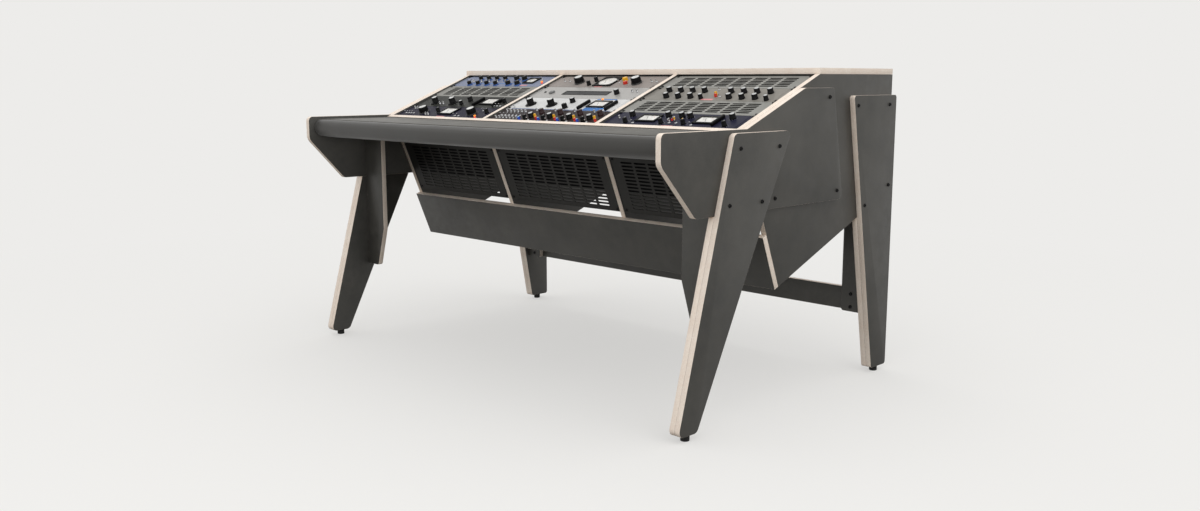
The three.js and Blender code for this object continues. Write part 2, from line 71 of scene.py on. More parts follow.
def toned(color, factor):
    return tuple(min(1, c * factor) for c in color[:3]) + (1,)


class Wire:
    def __init__(self, finish, socket):
        self.finish = finish
        self.socket = socket

    def maths(self, operation, first, second):
        return self.finish.node("ShaderNodeMath", {"operation": operation}, {0: first, 1: second})

    def __add__(self, other):
        return self.maths("ADD", self, other)

    def __radd__(self, other):
        return self.maths("ADD", other, self)

    def __sub__(self, other):
        return self.maths("SUBTRACT", self, other)

    def __rsub__(self, other):
        return self.maths("SUBTRACT", other, self)

    def __mul__(self, other):
        return self.maths("MULTIPLY", self, other)

    def __rmul__(self, other):
        return self.maths("MULTIPLY", other, self)

    def __gt__(self, other):
        return self.maths("GREATER_THAN", self, other)

    def __lt__(self, other):
        return self.maths("LESS_THAN", self, other)


class Finish:
    def __init__(self, name):
        self.material = bpy.data.materials.new(name)
        self.material.use_nodes = True
        self.tree = self.material.node_tree
        self.tree.nodes.clear()

    def node(self, kind, settings=None, inputs=None, output=0):
        made = self.tree.nodes.new(kind)
        for key, value in (settings or {}).items():
            setattr(made, key, value)
        for key, value in (inputs or {}).items():
            if isinstance(value, Wire):
                self.tree.links.new(value.socket, made.inputs[key])
            else:
                made.inputs[key].default_value = value
        return Wire(self, made.outputs[output]) if made.outputs else None

    def place(self):
        return self.node("ShaderNodeTexCoord", output="Object")

    def along(self, place, direction):
        return self.node(
            "ShaderNodeVectorMath", {"operation": "DOT_PRODUCT"}, {0: place, 1: direction}, "Value"
        )

    def noise(self, place, scale, detail=3.0, roughness=0.5):
        return self.node(
            "ShaderNodeTexNoise",
            {},
            {"Vector": place, "Scale": scale, "Detail": detail, "Roughness": roughness},
        )

    def blend(self, factor, first, second):
        return self.node(
            "ShaderNodeMix", {"data_type": "RGBA"}, {0: factor, 6: first, 7: second}, 2
        )

    def spread(self, value, low, high, newLow=0.0, newHigh=1.0):
        return self.node(
            "ShaderNodeMapRange",
            {"clamp": True},
            {0: value, 1: low, 2: high, 3: newLow, 4: newHigh},
        )

    def bump(self, height, distance, strength):
        return self.node(
            "ShaderNodeBump", {}, {"Height": height, "Distance": distance, "Strength": strength}
        )

    def surface(self, inputs):
        shader = self.node("ShaderNodeBsdfPrincipled", {}, inputs)
        self.node("ShaderNodeOutputMaterial", {}, {"Surface": shader})
        return self.material


# stage: pale floor that melts into the background, soft light from the right and above
stageLook = {
    "size": 120,
    "height": -0.0002,
    "floor": fromScreen(236, 235, 232),  # as the camera sees it
    "bounce": fromScreen(120, 118, 114),  # as it lights the underside of the desk
    "background": fromScreen(237, 236, 234),
    "horizonStrength": 0.82,
    "zenithStrength": 1.0,
    "leastFade": 0.55,  # share of background in the floor under the desk
    "fadeFrom": 1.2,
    "fadeTo": 3.4,
}


def seenRays(finish):
    # the rays that should meet the pale background: seen straight, in a reflection or through glass
    kinds = ("Is Camera Ray", "Is Glossy Ray", "Is Transmission Ray")
    camera, glossy, through = [finish.node("ShaderNodeLightPath", output=kind) for kind in kinds]
    return camera + glossy + through


def makeStage():
    look = stageLook
    bpy.ops.mesh.primitive_plane_add(size=look["size"], location=(0, 0, look["height"]))
    floor = bpy.context.object
    floor.name = "studioFloor"
    finish = Finish("studioFloor")
    distance = finish.node(
        "ShaderNodeVectorMath", {"operation": "LENGTH"}, {0: finish.place()}, "Value"
    )
    fade = finish.spread(distance, look["fadeFrom"], look["fadeTo"], look["leastFade"])
    camera = finish.node("ShaderNodeLightPath", output="Is Camera Ray")
    tone = finish.blend(camera, look["bounce"], look["floor"])
    diffuse = finish.node("ShaderNodeBsdfDiffuse", {}, {"Color": tone})
    glow = finish.node("ShaderNodeEmission", {}, {"Color": look["background"], "Strength": 1.0})
    mixed = finish.node("ShaderNodeMixShader", {}, {0: fade * seenRays(finish), 1: diffuse, 2: glow})
    finish.node("ShaderNodeOutputMaterial", {}, {"Surface": mixed})
    floor.data.materials.append(finish.material)

    world = bpy.data.worlds.new("studioWorld")
    scene.world = world
    world.use_nodes = True
    world.node_tree.nodes.clear()
    sky = Finish.__new__(Finish)
    sky.material = world
    sky.tree = world.node_tree
    seen = sky.node("ShaderNodeBackground", {}, {"Color": look["background"], "Strength": 1.0})
    # the light is stronger from above than from the sides
    way = sky.node("ShaderNodeTexCoord", output="Generated")
    rise = sky.along(way, (0, 0, 1))
    strength = sky.spread(rise, 0.0, 1.0, look["horizonStrength"], look["zenithStrength"])
    light = sky.node("ShaderNodeBackground", {}, {"Color": (1, 1, 1, 1), "Strength": strength})
    both = sky.node("ShaderNodeMixShader", {}, {0: seenRays(sky), 1: light, 2: seen})
    sky.node("ShaderNodeOutputWorld", {}, {"Surface": both})


lampAim = Vector((0, 0, 0.5))
lampLook = {
    "rightSoftbox": {"place": (3.6, -0.6, 2.6), "size": (3.2, 2.4), "watts": 18},
    "topSoftbox": {"place": (0.3, -0.2, 3.4), "size": (3.6, 2.6), "watts": 8},
    "frontSoftbox": {"place": (1.0, -3.8, 1.7), "size": (3.2, 2.0), "watts": 22},
}


def makeLamps():
    for name, look in lampLook.items():
        bpy.ops.object.light_add(type="AREA", location=look["place"])
        lamp = bpy.context.object
        lamp.name = name
        lamp.data.shape = "RECTANGLE"
        lamp.data.size, lamp.data.size_y = look["size"]
        lamp.data.energy = look["watts"]
        way = lampAim - Vector(look["place"])
        lamp.rotation_euler = way.to_track_quat("-Z", "Y").to_euler()


makeStage()
makeLamps()
print("stage and lamps made")


# finishes
plywoodLook = {
    "laminate": (fromScreen(45, 44, 40), fromScreen(70, 68, 63)),
    "birch": (fromScreen(238, 221, 206), fromScreen(253, 243, 231)),
    "cross": fromScreen(226, 203, 180),  # every other layer shows its end grain
    "glue": fromScreen(176, 148, 122),
    "layer": 0.00144,
    "glueWidth": 0.00018,
    "film": 0.00003,
    "shine": 0.66,
}


def plywoodFinish(name, direction, centre, half=0.008, paintedLight=1.0):
    # dark laminate on both faces, pale birch layers on every edge
    look = plywoodLook
    finish = Finish(name)
    place = finish.place()
    depth = finish.along(place, direction) - centre
    isEdge = finish.node("ShaderNodeMath", {"operation": "ABSOLUTE"}, {0: depth}) < half - look["film"]

    cloud = finish.noise(place, 7.0, 5.0, 0.6)
    mottle = finish.noise(place, 38.0, 4.0, 0.62)
    speck = finish.noise(place, 420.0, 2.0)
    cloudy = finish.spread(cloud * 0.6 + mottle * 0.3 + speck * 0.1, 0.36, 0.64)
    # scaling the laminate tone paints light into it: above 1 it is a painted highlight, below 1 painted
    # shade
    laminate = finish.blend(cloudy, *[toned(tone, paintedLight) for tone in look["laminate"]])

    def zigzag(length):
        # depth is moved to be above 0 on all of the board
        return finish.node("ShaderNodeMath", {"operation": "PINGPONG"}, {0: depth + 0.1, 1: length})

    layer = look["layer"]
    glueLine = finish.spread(zigzag(layer / 2), 0.0, look["glueWidth"], 1.0, 0.0)
    isCross = zigzag(layer) > layer / 2
    grain = finish.noise(place, 260.0, 4.0, 0.6)
    figure = finish.noise(place, 24.0, 3.0)
    birch = finish.blend(finish.spread(grain * 0.6 + figure * 0.4, 0.35, 0.65), *look["birch"])
    birch = finish.blend(isCross * 0.25, birch, look["cross"])
    birch = finish.blend(glueLine * 0.22, birch, look["glue"])

    roughLaminate = finish.spread(mottle, 0.3, 0.7, 0.42, 0.56)
    height = speck * (1 - isEdge) * 0.5 + grain * isEdge
    return finish.surface({
        "Base Color": finish.blend(isEdge, laminate, birch),
        "Roughness": roughLaminate * (1 - isEdge) + isEdge * 0.72,
        "Specular IOR Level": look["shine"],
        "Normal": finish.bump(height, 0.00012, 0.5),
    })


def coverFinish(name, dark, light):
    # fine grained leather-like cover
    finish = Finish(name)
    place = finish.place()
    pores = finish.node("ShaderNodeTexVoronoi", {}, {"Vector": place, "Scale": 620.0})
    soft = finish.noise(place, 9.0, 4.0)
    tone = finish.spread(soft * 0.7 + pores * 0.3, 0.2, 0.7)
    return finish.surface({
        "Base Color": finish.blend(tone, dark, light),
        "Roughness": finish.spread(soft, 0.3, 0.7, 0.38, 0.5),
        "Normal": finish.bump(pores, 0.00025, 0.35),
        "Sheen Weight": 0.25,
    })


def paintFinish(name, color, rough=0.42, metallic=0.0, shine=0.5):
    # satin powder coat with a faint orange peel and cloudier patches
    finish = Finish(name)
    place = finish.place()
    peel = finish.noise(place, 900.0, 2.0)
    wide = finish.noise(place, 14.0, 4.0)
    worn = finish.spread(wide, 0.3, 0.7) * 0.8 + peel * 0.2
    return finish.surface({
        "Base Color": finish.blend(worn, toned(color, 0.84), toned(color, 1.1)),
        "Roughness": finish.spread(wide * 0.7 + peel * 0.3, 0.3, 0.7, rough - 0.06, rough + 0.08),
        "Metallic": metallic,
        "Specular IOR Level": shine,
        "Normal": finish.bump(peel, 0.00006, 0.4),
    })


def brushedFinish(name, color, stretch=(4.0, 900.0, 900.0), metallic=0.9, rough=0.34):
    # brushed metal, its lines drawn out by a stretched noise
    finish = Finish(name)
    place = finish.place()
    drawn = finish.node("ShaderNodeMapping", {}, {"Vector": place, "Scale": stretch})
    lines = finish.noise(drawn, 1.0, 3.0, 0.6)
    cloud = finish.noise(place, 12.0, 3.0)
    return finish.surface({
        "Base Color": finish.blend(finish.spread(lines, 0.3, 0.7), toned(color, 0.8), color),
        "Roughness": finish.spread(lines * 0.6 + cloud * 0.4, 0.3, 0.7, rough - 0.06, rough + 0.1),
        "Metallic": metallic,
        "Normal": finish.bump(lines, 0.00004, 0.3),
    })


def plasticFinish(name, color, rough=0.38, coat=0.0, shine=0.3):
    # moulded plastic with a fine spark texture
    finish = Finish(name)
    place = finish.place()
    spark = finish.noise(place, 1500.0, 2.0)
    wide = finish.noise(place, 60.0, 2.0)
    return finish.surface({
        "Base Color": finish.blend(finish.spread(wide, 0.35, 0.65), toned(color, 0.8), color),
        "Roughness": finish.spread(spark, 0.3, 0.7, rough - 0.05, rough + 0.07),
        "Coat Weight": coat,
        "Specular IOR Level": shine,
        "Normal": finish.bump(spark, 0.00003, 0.3),
    })


def lampFinish(name, color, strength):
    # a lit plastic dome
    finish = Finish(name)
    cloud = finish.noise(finish.place(), 300.0, 2.0)
    tone = finish.blend(cloud * 0.3, color, toned(color, 0.7))
    return finish.surface({
        "Base Color": tone,
        "Roughness": 0.25,
        "Emission Color": tone,
        "Emission Strength": strength,
    })


# name: (maker of the finish, screen colour, further settings in that maker's order)
finishLooks = {
    "ventGrey": (paintFinish, (144, 143, 138), 0.45, 0.0, 0.15),
    "ventBlack": (paintFinish, (44, 43, 41), 0.5, 0.0, 0.25),
    "chassis": (paintFinish, (20, 20, 21), 0.6, 0.0, 0.1),
    "boltBlack": (paintFinish, (20, 20, 21), 0.38, 0.6),
    # a matte black that paints shade: the slot walls and the sheet behind the rack vents
    "dustBlack": (plasticFinish, (12, 12, 12), 0.9, 0.0, 0.0),
    "rubber": (plasticFinish, (24, 24, 24), 0.6),
    "zinc": (brushedFinish, (170, 172, 174)),
    "capSilver": (brushedFinish, (214, 215, 215), (500, 500, 500), 0.5, 0.3),
    "chrome": (brushedFinish, (215, 216, 218), (300, 300, 300), 1.0, 0.14),
    "knobBlack": (plasticFinish, (14, 14, 15), 0.4, 0.0, 0.12),
    "knobMaroon": (plasticFinish, (46, 16, 18), 0.34),
    "knobGrey": (plasticFinish, (112, 112, 112), 0.36),
    "skirtDusk": (plasticFinish, (72, 72, 72), 0.4),
    "skirtBlue": (plasticFinish, (54, 92, 158), 0.34),
    "capWhite": (plasticFinish, (232, 232, 229), 0.32),
    "capYellow": (plasticFinish, (238, 178, 32), 0.3),
    "capRed": (plasticFinish, (210, 52, 36), 0.3),
    "capBlue": (plasticFinish, (48, 84, 205), 0.3),
    "capSky": (plasticFinish, (150, 205, 228), 0.3),
    "meterCard": (plasticFinish, (236, 234, 228), 0.3, 0.3),
    "meterInk": (plasticFinish, (30, 30, 32), 0.4),
    "meterRed": (plasticFinish, (205, 48, 52), 0.4),
    "labelPink": (plasticFinish, (228, 150, 150), 0.45),
    "labelBlue": (plasticFinish, (64, 122, 190), 0.45),
    "markWhite": (plasticFinish, (206, 206, 202), 0.5),
    "lampOrange": (lampFinish, (255, 150, 40), 0.6),
    "lampRed": (lampFinish, (235, 52, 30), 0.5),
}
finishes = {
    name: maker(name, fromScreen(*color), *more)
    for name, (maker, color, *more) in finishLooks.items()
}
finishes["cover"] = coverFinish("cover", fromScreen(33, 32, 28), fromScreen(44, 42, 38))
print("finishes made")


# modelling tools
def deselect():
    if bpy.context.mode != "OBJECT":
        bpy.ops.object.mode_set(mode="OBJECT")
    bpy.ops.object.select_all(action="DESELECT")


def activate(piece):
    deselect()
    piece.select_set(True)
    bpy.context.view_layer.objects.active = piece


def added(name):
    # names the primitive that was added last, and opens it for shaping with all of it selected
    piece = bpy.context.object
    piece.name = piece.data.name = name
    editMode(piece)
    bpy.ops.mesh.select_all(action="SELECT")
    return piece


def editMode(piece):
    activate(piece)
    bpy.ops.object.mode_set(mode="EDIT")
    bpy.ops.mesh.select_mode(type="VERT")


def pick(piece, kind, test):
    # selects vertices, edges or faces by their place or normal, in edit mode
    bpy.ops.mesh.select_mode(type=kind)
    bpy.ops.mesh.select_all(action="DESELECT")
    mesh = bmesh.from_edit_mesh(piece.data)
    for element in {"VERT": mesh.verts, "EDGE": mesh.edges, "FACE": mesh.faces}[kind]:
        if test(element):
            element.select_set(True)
    mesh.select_flush_mode()
    bmesh.update_edit_mesh(piece.data)


def settle(piece, place):
    # puts the piece where it belongs, with its place in its mesh
    activate(piece)
    piece.matrix_world = place @ piece.matrix_world
    bpy.ops.object.transform_apply(location=True, rotation=True, scale=True)


def applyModifier(piece, kind, settings):
    activate(piece)
    bpy.ops.object.modifier_add(type=kind)
    modifier = piece.modifiers[-1]
    for key, value in settings.items():
        setattr(modifier, key, value)
    bpy.ops.object.modifier_apply(modifier=modifier.name)


def roundEdges(piece, width, segments=2, degrees=32):
    if width:
        applyModifier(piece, "BEVEL", {
            "width": width, "segments": segments, "limit_method": "ANGLE",
            "angle_limit": math.radians(degrees), "use_clamp_overlap": True,
        })


def smooth(piece, degrees=35):
    activate(piece)
    bpy.ops.object.shade_smooth_by_angle(angle=math.radians(degrees))


def closeUp():
    # turns all faces outwards and leaves edit mode
    bpy.ops.mesh.select_all(action="SELECT")
    bpy.ops.mesh.normals_make_consistent(inside=False)
    bpy.ops.object.mode_set(mode="OBJECT")


def sinkTop(piece, rim, lip, depth, floor=None):
    # a rim is left round the top face; what lies inside it is sunk, and may have its own finish
    if floor:
        piece.data.materials.append(finishes[floor])
    editMode(piece)
    pick(piece, "FACE", lambda face: face.normal.z > 0.9)
    bpy.ops.mesh.inset(thickness=rim, depth=0)
    bpy.ops.mesh.inset(thickness=lip, depth=-depth)
    if floor:
        piece.active_material_index = 1
        bpy.ops.object.material_slot_assign()
    bpy.ops.object.mode_set(mode="OBJECT")


def outlinePlate(name, corners, thickness, place, rounding=0.0002, arcSteps=9):
    # corners are (a, b, radius); the plate is drawn flat, raised, rounded and then placed
    deselect()
    bpy.ops.mesh.primitive_plane_add(size=0.01)
    piece = added(name)
    bpy.ops.mesh.merge(type="CENTER")
    bpy.ops.transform.translate(value=(corners[0][0], corners[0][1], 0))
    for (a, b, _), (nextA, nextB, _) in zip(corners, corners[1:]):
        bpy.ops.mesh.extrude_vertices_move(
            TRANSFORM_OT_translate={"value": (nextA - a, nextB - b, 0)}
        )
    bpy.ops.mesh.select_all(action="SELECT")
    bpy.ops.mesh.edge_face_add()
    bpy.ops.mesh.extrude_region_move(TRANSFORM_OT_translate={"value": (0, 0, thickness)})
    for index, (a, b, radius) in enumerate(corners):
        if not radius:
            continue
        here = Vector((a, b))
        back = (Vector(corners[index - 1][:2]) - here).normalized()
        ahead = (Vector(corners[(index + 1) % len(corners)][:2]) - here).normalized()
        reach = radius / math.tan(back.angle(ahead) / 2)
        pick(piece, "EDGE", lambda edge: all(
            (vertex.co.xy - here).length < 1e-5 for vertex in edge.verts
        ))
        bpy.ops.mesh.bevel(
            offset=reach, segments=arcSteps, profile=0.5, affect="EDGES", clamp_overlap=False
        )
    closeUp()
    settle(piece, place)
    roundEdges(piece, rounding)
    smooth(piece)
    return piece


def boxPiece(name, low, high, place=Matrix(), rounding=0.0004, segments=2):
    deselect()
    bpy.ops.mesh.primitive_cube_add(size=1)
    piece = added(name)
    size = [b - a for a, b in zip(low, high)]
    middle = [(a + b) / 2 for a, b in zip(low, high)]
    bpy.ops.transform.resize(value=size, center_override=(0, 0, 0))
    bpy.ops.transform.translate(value=middle)
    bpy.ops.object.mode_set(mode="OBJECT")
    settle(piece, place)
    roundEdges(piece, rounding, segments)
    smooth(piece)
    return piece


def turnedPiece(name, rings, sides):
    # a round piece built upwards from rings of (radius, height)
    deselect()
    radius, height = rings[0]
    bpy.ops.mesh.primitive_circle_add(vertices=sides, radius=radius, fill_type="NGON")
    piece = added(name)
    bpy.ops.transform.translate(value=(0, 0, height))
    for nextRadius, nextHeight in rings[1:]:
        bpy.ops.mesh.extrude_region_move(
            TRANSFORM_OT_translate={"value": (0, 0, nextHeight - height)}
        )
        grow = nextRadius / radius
        bpy.ops.transform.resize(value=(grow, grow, 1), center_override=(0, 0, nextHeight))
        radius, height = nextRadius, nextHeight
    closeUp()
    smooth(piece)
    return piece


def give(piece, finish):
    piece.data.materials.clear()
    piece.data.materials.append(finishes[finish] if isinstance(finish, str) else finish)
    return piece


def copyTo(pattern, places):
    copies = []
    for place in places:
        copy = pattern.copy()
        copy.data = pattern.data.copy()
        copy.data.transform(place)
        scene.collection.objects.link(copy)
        copies.append(copy)
    return copies


def discard(*pieces):
    for piece in pieces:
        bpy.data.objects.remove(piece)


def joined(name, parts):
    deselect()
    for part in parts:
        part.select_set(True)
    bpy.context.view_layer.objects.active = parts[0]
    if len(parts) > 1:
        bpy.ops.object.join()
    piece = bpy.context.object
    piece.name = piece.data.name = name
    return piece


def standFor(piece, body, slot, *names):
    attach(piece, body)
    if names:
        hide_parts(*names)


def shift(x=0.0, y=0.0, z=0.0):
    return Matrix.Translation((x, y, z))


def turned(degrees, axis):
    return Matrix.Rotation(math.radians(degrees), 4, axis)


# sizes that every piece shares, in metres
common = {
    "ply": 0.016, "seat": 0.0003, "depth": 1.02, "armTop": 0.741, "worktop": 0.733,
    "bay": 0.485, "carcassFront": 0.4515, "slope": math.radians(22), "armLength": 0.3165,
    "slopeLength": 0.358, "legBottom": 0.016,
}
ply, seat = common["ply"], common["seat"]
frontY, rearY = -common["depth"] / 2, common["depth"] / 2
slope = common["slope"]
footY = frontY + common["armLength"]
armTop, worktopZ = common["armTop"], common["worktop"]
worktopUnder = worktopZ - ply
sideIn = 1.5 * common["bay"] + ply
armIn = sideIn + ply + seat
outerIn = armIn + ply + seat
betweenArms = armIn - seat
lean = math.tan(slope)
hands = ((-1, "left"), (1, "right"))
bayNames = ("left", "middle", "right")
rackPlace = shift(0, footY, armTop) @ Matrix.Rotation(slope, 4, "X")
slopeUp = (0.0, math.cos(slope), math.sin(slope))


def onSlope(along, out):
    point = rackPlace @ Vector((0, along, out))
    return point.y, point.z


def bayCentre(bay):
    return (bay - 1) * (common["bay"] + ply)


def acrossX(start):
    # drawn outline (a, b) becomes (Y, Z) and the thickness runs along +X
    turn = Matrix(((0, 0, 1, 0), (1, 0, 0, 0), (0, 1, 0, 0), (0, 0, 0, 1)))
    return shift(start) @ turn


def acrossY(rear):
    # drawn outline (a, b) becomes (X, Z) and the thickness runs from the rear face forwards
    return shift(0, rear) @ turned(90, "X")


def sidePlate(kind, side, hand, outline, inner):
    # a plate that stands along the depth of the desk, with its inner face at that distance
    start = inner if side > 0 else -inner - ply
    plate = outlinePlate(f"{kind}Board_{hand}", outline, ply, acrossX(start))
    give(plate, plywoodFinish(f"ply_{kind}_{hand}", (1, 0, 0), start + ply / 2))
    standFor(plate, "desk", "laminate_plywood", f"{kind}_{hand}")


# plywood carcass and side frames
battenLook = {"setback": 0.0215, "height": 0.030}
lowFrontY, lowFrontZ = onSlope(0, -common["carcassFront"])
slopeEndY, carcassTop = onSlope(common["slopeLength"], 0)


def underAt(y):
    return lowFrontZ + (y - lowFrontY) * lean


def makeCarcass():
    outline = [
        (footY, armTop, 0), (lowFrontY, lowFrontZ, 0), (rearY, underAt(rearY), 0),
        (rearY, carcassTop, 0), (slopeEndY, carcassTop, 0),
    ]
    for side, hand in hands:
        sidePlate("carcass_side", side, hand, outline, sideIn)
        sidePlate("divider", side, hand, outline, common["bay"] / 2)
    low = (-sideIn - ply, slopeEndY, carcassTop + seat)
    high = (sideIn + ply, rearY, carcassTop + seat + ply)
    lid = boxPiece("topBoard", low, high)
    give(lid, plywoodFinish("ply_top", (0, 0, 1), (low[2] + high[2]) / 2))
    standFor(lid, "desk", "laminate_plywood", "top_board")
    front = slopeEndY + battenLook["setback"]
    finish = plywoodFinish("ply_batten", (0, 1, 0), front + ply / 2)
    for bay, bayName in enumerate(bayNames):
        reach = common["bay"] / 2 - seat
        low = (bayCentre(bay) - reach, front, carcassTop - battenLook["height"])
        high = (bayCentre(bay) + reach, front + ply, carcassTop)
        batten = give(boxPiece(f"topBatten_{bayName}", low, high), finish)
        standFor(batten, "desk", "laminate_plywood", f"top_batten_{bayName}")


sideFrame = {
    "armFrontDrop": 0.073, "underside": 0.5355, "underSetback": 0.1245, "rise": 0.098,
    "armRearSetback": 0.3245, "rearLean": 0.183, "frontLean": 0.2706, "frontRearLean": 0.501,
    "frontSetback": 0.247, "frontTopWidth": 0.2345, "rearTop": 0.817, "rearTopWidth": 0.225,
}


def makeSideFrames():
    look = sideFrame
    armRearY = rearY - look["armRearSetback"]
    under, rise = look["underside"], look["rise"]
    armOutline = [
        (frontY, armTop, 0.014), (frontY, armTop - look["armFrontDrop"], 0.028),
        (frontY + look["underSetback"], under, 0.015),
        (armRearY + (armTop + rise - under) * look["rearLean"], under, 0.015),
        (armRearY, armTop + rise, 0.010), (footY + rise / lean, armTop + rise, 0.030),
        (footY, armTop, 0.010),
    ]
    topFront = frontY + look["frontSetback"]
    bottom = common["legBottom"]

    def frontLeg(top, radius):
        def fore(z):
            return topFront - (worktopZ - z) * look["frontLean"]

        def aft(z):
            return topFront + look["frontTopWidth"] - (worktopZ - z) * look["frontRearLean"]

        return [
            (aft(top), top, radius), (fore(top), top, radius),
            (fore(bottom), bottom, 0.016), (aft(bottom), bottom, 0.016),
        ]

    def rearFore(z):
        return rearY - look["rearTopWidth"] + (look["rearTop"] - z) * look["rearLean"]

    rearOuter = [
        (rearY, look["rearTop"], 0.009), (rearFore(look["rearTop"]), look["rearTop"], 0.009),
        (rearFore(bottom), bottom, 0.009), (rearY, bottom, 0.009),
    ]
    gap = seat / math.cos(slope)
    innerTop = (underAt(rearFore(0)) - gap) / (1 + look["rearLean"] * lean)
    rearInner = [
        (rearY, underAt(rearY) - gap, 0), (rearFore(innerTop), innerTop, 0),
        (rearFore(bottom), bottom, 0.009), (rearY, bottom, 0.009),
    ]
    layers = (
        ("arm_panel", armOutline, armIn),
        ("front_leg_outer", frontLeg(worktopZ, 0.015), outerIn),
        ("front_leg_inner", frontLeg(under - seat, 0), armIn),
        ("rear_leg_outer", rearOuter, armIn),
        ("rear_leg_inner", rearInner, sideIn),
    )
    for side, hand in hands:
        for kind, outline, inner in layers:
            sidePlate(kind, side, hand, outline, inner)


restLook = {
    "noseSetback": 0.0155, "topDepth": 0.0295, "height": 0.057, "depth": 0.060, "noseRadius": 0.026,
    "rounding": 0.004, "voxel": 0.005, "pressure": 4.0, "frames": 20,
    "cap": 0.0025,  # how far a point of the cover may move
    "held": 0.0045,  # how far from the worktop the cover is glued
}
creaseY = frontY + restLook["noseSetback"] + restLook["topDepth"]


def makeWorktop():
    faceY, _ = onSlope(-ply - seat, 0)

    def rearAt(z):
        return faceY - seat + (worktopZ - z) * lean

    outline = [
        (creaseY + seat, worktopZ, 0), (creaseY + seat, worktopUnder, 0),
        (rearAt(worktopUnder), worktopUnder, 0), (rearAt(worktopZ), worktopZ, 0),
    ]
    board = outlinePlate("worktopBoard", outline, 2 * betweenArms, acrossX(-betweenArms))
    # its edges are all covered, so it shows laminate alone; that laminate is lightened as a painted
    # highlight, a lit copy of the laminate on the other boards
    give(board, plywoodFinish("ply_worktop", (0, 0, 1), worktopZ - ply / 2, half=-1.0, paintedLight=1.85))
    standFor(board, "desk", "laminate_plywood", "desktop")


bracing = {
    "frontSetback": 0.2085, "frontWidth": 0.0965, "frontFoot": 0.0575, "frontHeight": 0.355,
    "frontTaper": 0.127, "rearSetback": 0.0955, "rearWidth": 0.0665, "rearBottom": 0.1795,
    "rearHeight": 0.380, "corner": 0.008, "barLift": 0.0015, "barHeight": 0.068,
}


def makeBracing():
    look = bracing
    top = worktopUnder - seat
    low = top - look["frontHeight"]
    foot = low - look["frontTaper"]
    corner = look["corner"]
    rearFace = rearY - look["rearSetback"]
    bottom = look["rearBottom"]
    rise = bottom + look["rearHeight"]
    wall, inner = sideIn - seat, sideIn - seat - look["rearWidth"]
    plates = {
        # outlines of the right hand as (x, z, radius)
        "front": (frontY + look["frontSetback"], [
            (betweenArms, top, 0), (betweenArms - look["frontWidth"], top, 0),
            (betweenArms - look["frontWidth"], low, corner),
            (betweenArms - look["frontFoot"], foot, corner), (betweenArms, foot, 0),
        ]),
        "rear": (rearFace, [
            (wall, rise, 0), (inner, rise, corner), (inner, bottom, corner), (wall, bottom, 0),
        ]),
    }
    for side, hand in hands:
        for end, (face, corners) in plates.items():
            outline = [(side * x, z, radius) for x, z, radius in corners]
            plate = outlinePlate(f"{end}GussetBoard_{hand}", outline, ply, acrossY(face + ply))
            give(plate, plywoodFinish(f"ply_gusset_{end}_{hand}", (0, 1, 0), face + ply / 2))
            standFor(plate, "desk", "laminate_plywood", f"{end}_gusset_{hand}")
    barY = rearFace + ply + seat
    barZ = bottom + look["barLift"]
    low, high = (-wall, barY, barZ), (wall, barY + ply, barZ + look["barHeight"])
    bar = boxPiece("rearCrossbarBoard", low, high)
    give(bar, plywoodFinish("ply_crossbar", (0, 1, 0), barY + ply / 2))
    standFor(bar, "desk", "laminate_plywood", "rear_crossbar")


# how far down the sloping front each board starts and ends
frontBoards = {"sill_board": (0, 0.095), "kick_board": (0.297, common["carcassFront"])}


def makeFrontBoards():
    faceY, faceZ = onSlope(-seat - ply / 2, 0)
    centre = Vector(slopeUp).dot(Vector((0, faceY, faceZ)))
    for name, (start, end) in frontBoards.items():
        low, high = (-betweenArms, -seat - ply, -end), (betweenArms, -seat, -start)
        board = boxPiece(f"{name}Board", low, high, rackPlace)
        give(board, plywoodFinish(f"ply_{name}", slopeUp, centre))
        standFor(board, "desk", "laminate_plywood", name)


makeCarcass()
makeSideFrames()
makeWorktop()
makeBracing()
makeFrontBoards()
print("plywood made")


# padded roll on the front edge
restUnder = worktopUnder - seat


def keepOffWood(point):
    # the worktop lies in the step of the roll
    if point.y > creaseY and point.z > restUnder:
        if point.y - creaseY < point.z - restUnder:
            point.y = creaseY
        else:
            point.z = restUnder
    point.x = max(-betweenArms, min(betweenArms, point.x))


def swellUnderCover(pad):
    # the foam presses the cover out a little; along the worktop the cover is glued down
    look = restLook
    applyModifier(pad, "REMESH", {"mode": "VOXEL", "voxel_size": look["voxel"]})
    starts = [vertex.co.copy() for vertex in pad.data.vertices]
    glued = pad.vertex_groups.new(name="glued")
    reach = look["held"]
    glued.add([
        index for index, point in enumerate(starts)
        if point.y > creaseY - reach and point.z > restUnder - reach
    ], 1.0, "REPLACE")
    bpy.ops.object.modifier_add(type="CLOTH")
    cloth = pad.modifiers[-1]
    cloth.settings.use_pressure = True
    cloth.settings.uniform_pressure_force = look["pressure"]
    cloth.settings.vertex_group_mass = "glued"
    cloth.settings.effector_weights.gravity = 0
    cloth.point_cache.frame_end = look["frames"]
    for number in range(1, look["frames"] + 1):
        scene.frame_set(number)
    bpy.ops.object.modifier_apply(modifier=cloth.name)
    scene.frame_set(1)
    for vertex, start in zip(pad.data.vertices, starts):
        move = vertex.co - start
        move.x = 0
        if move.length > look["cap"]:
            move *= look["cap"] / move.length
        vertex.co = start + move
        keepOffWood(vertex.co)
    pad.vertex_groups.clear()
    applyModifier(pad, "SUBSURF", {"levels": 1, "render_levels": 1})
    for vertex in pad.data.vertices:
        keepOffWood(vertex.co)
    smooth(pad, 60)


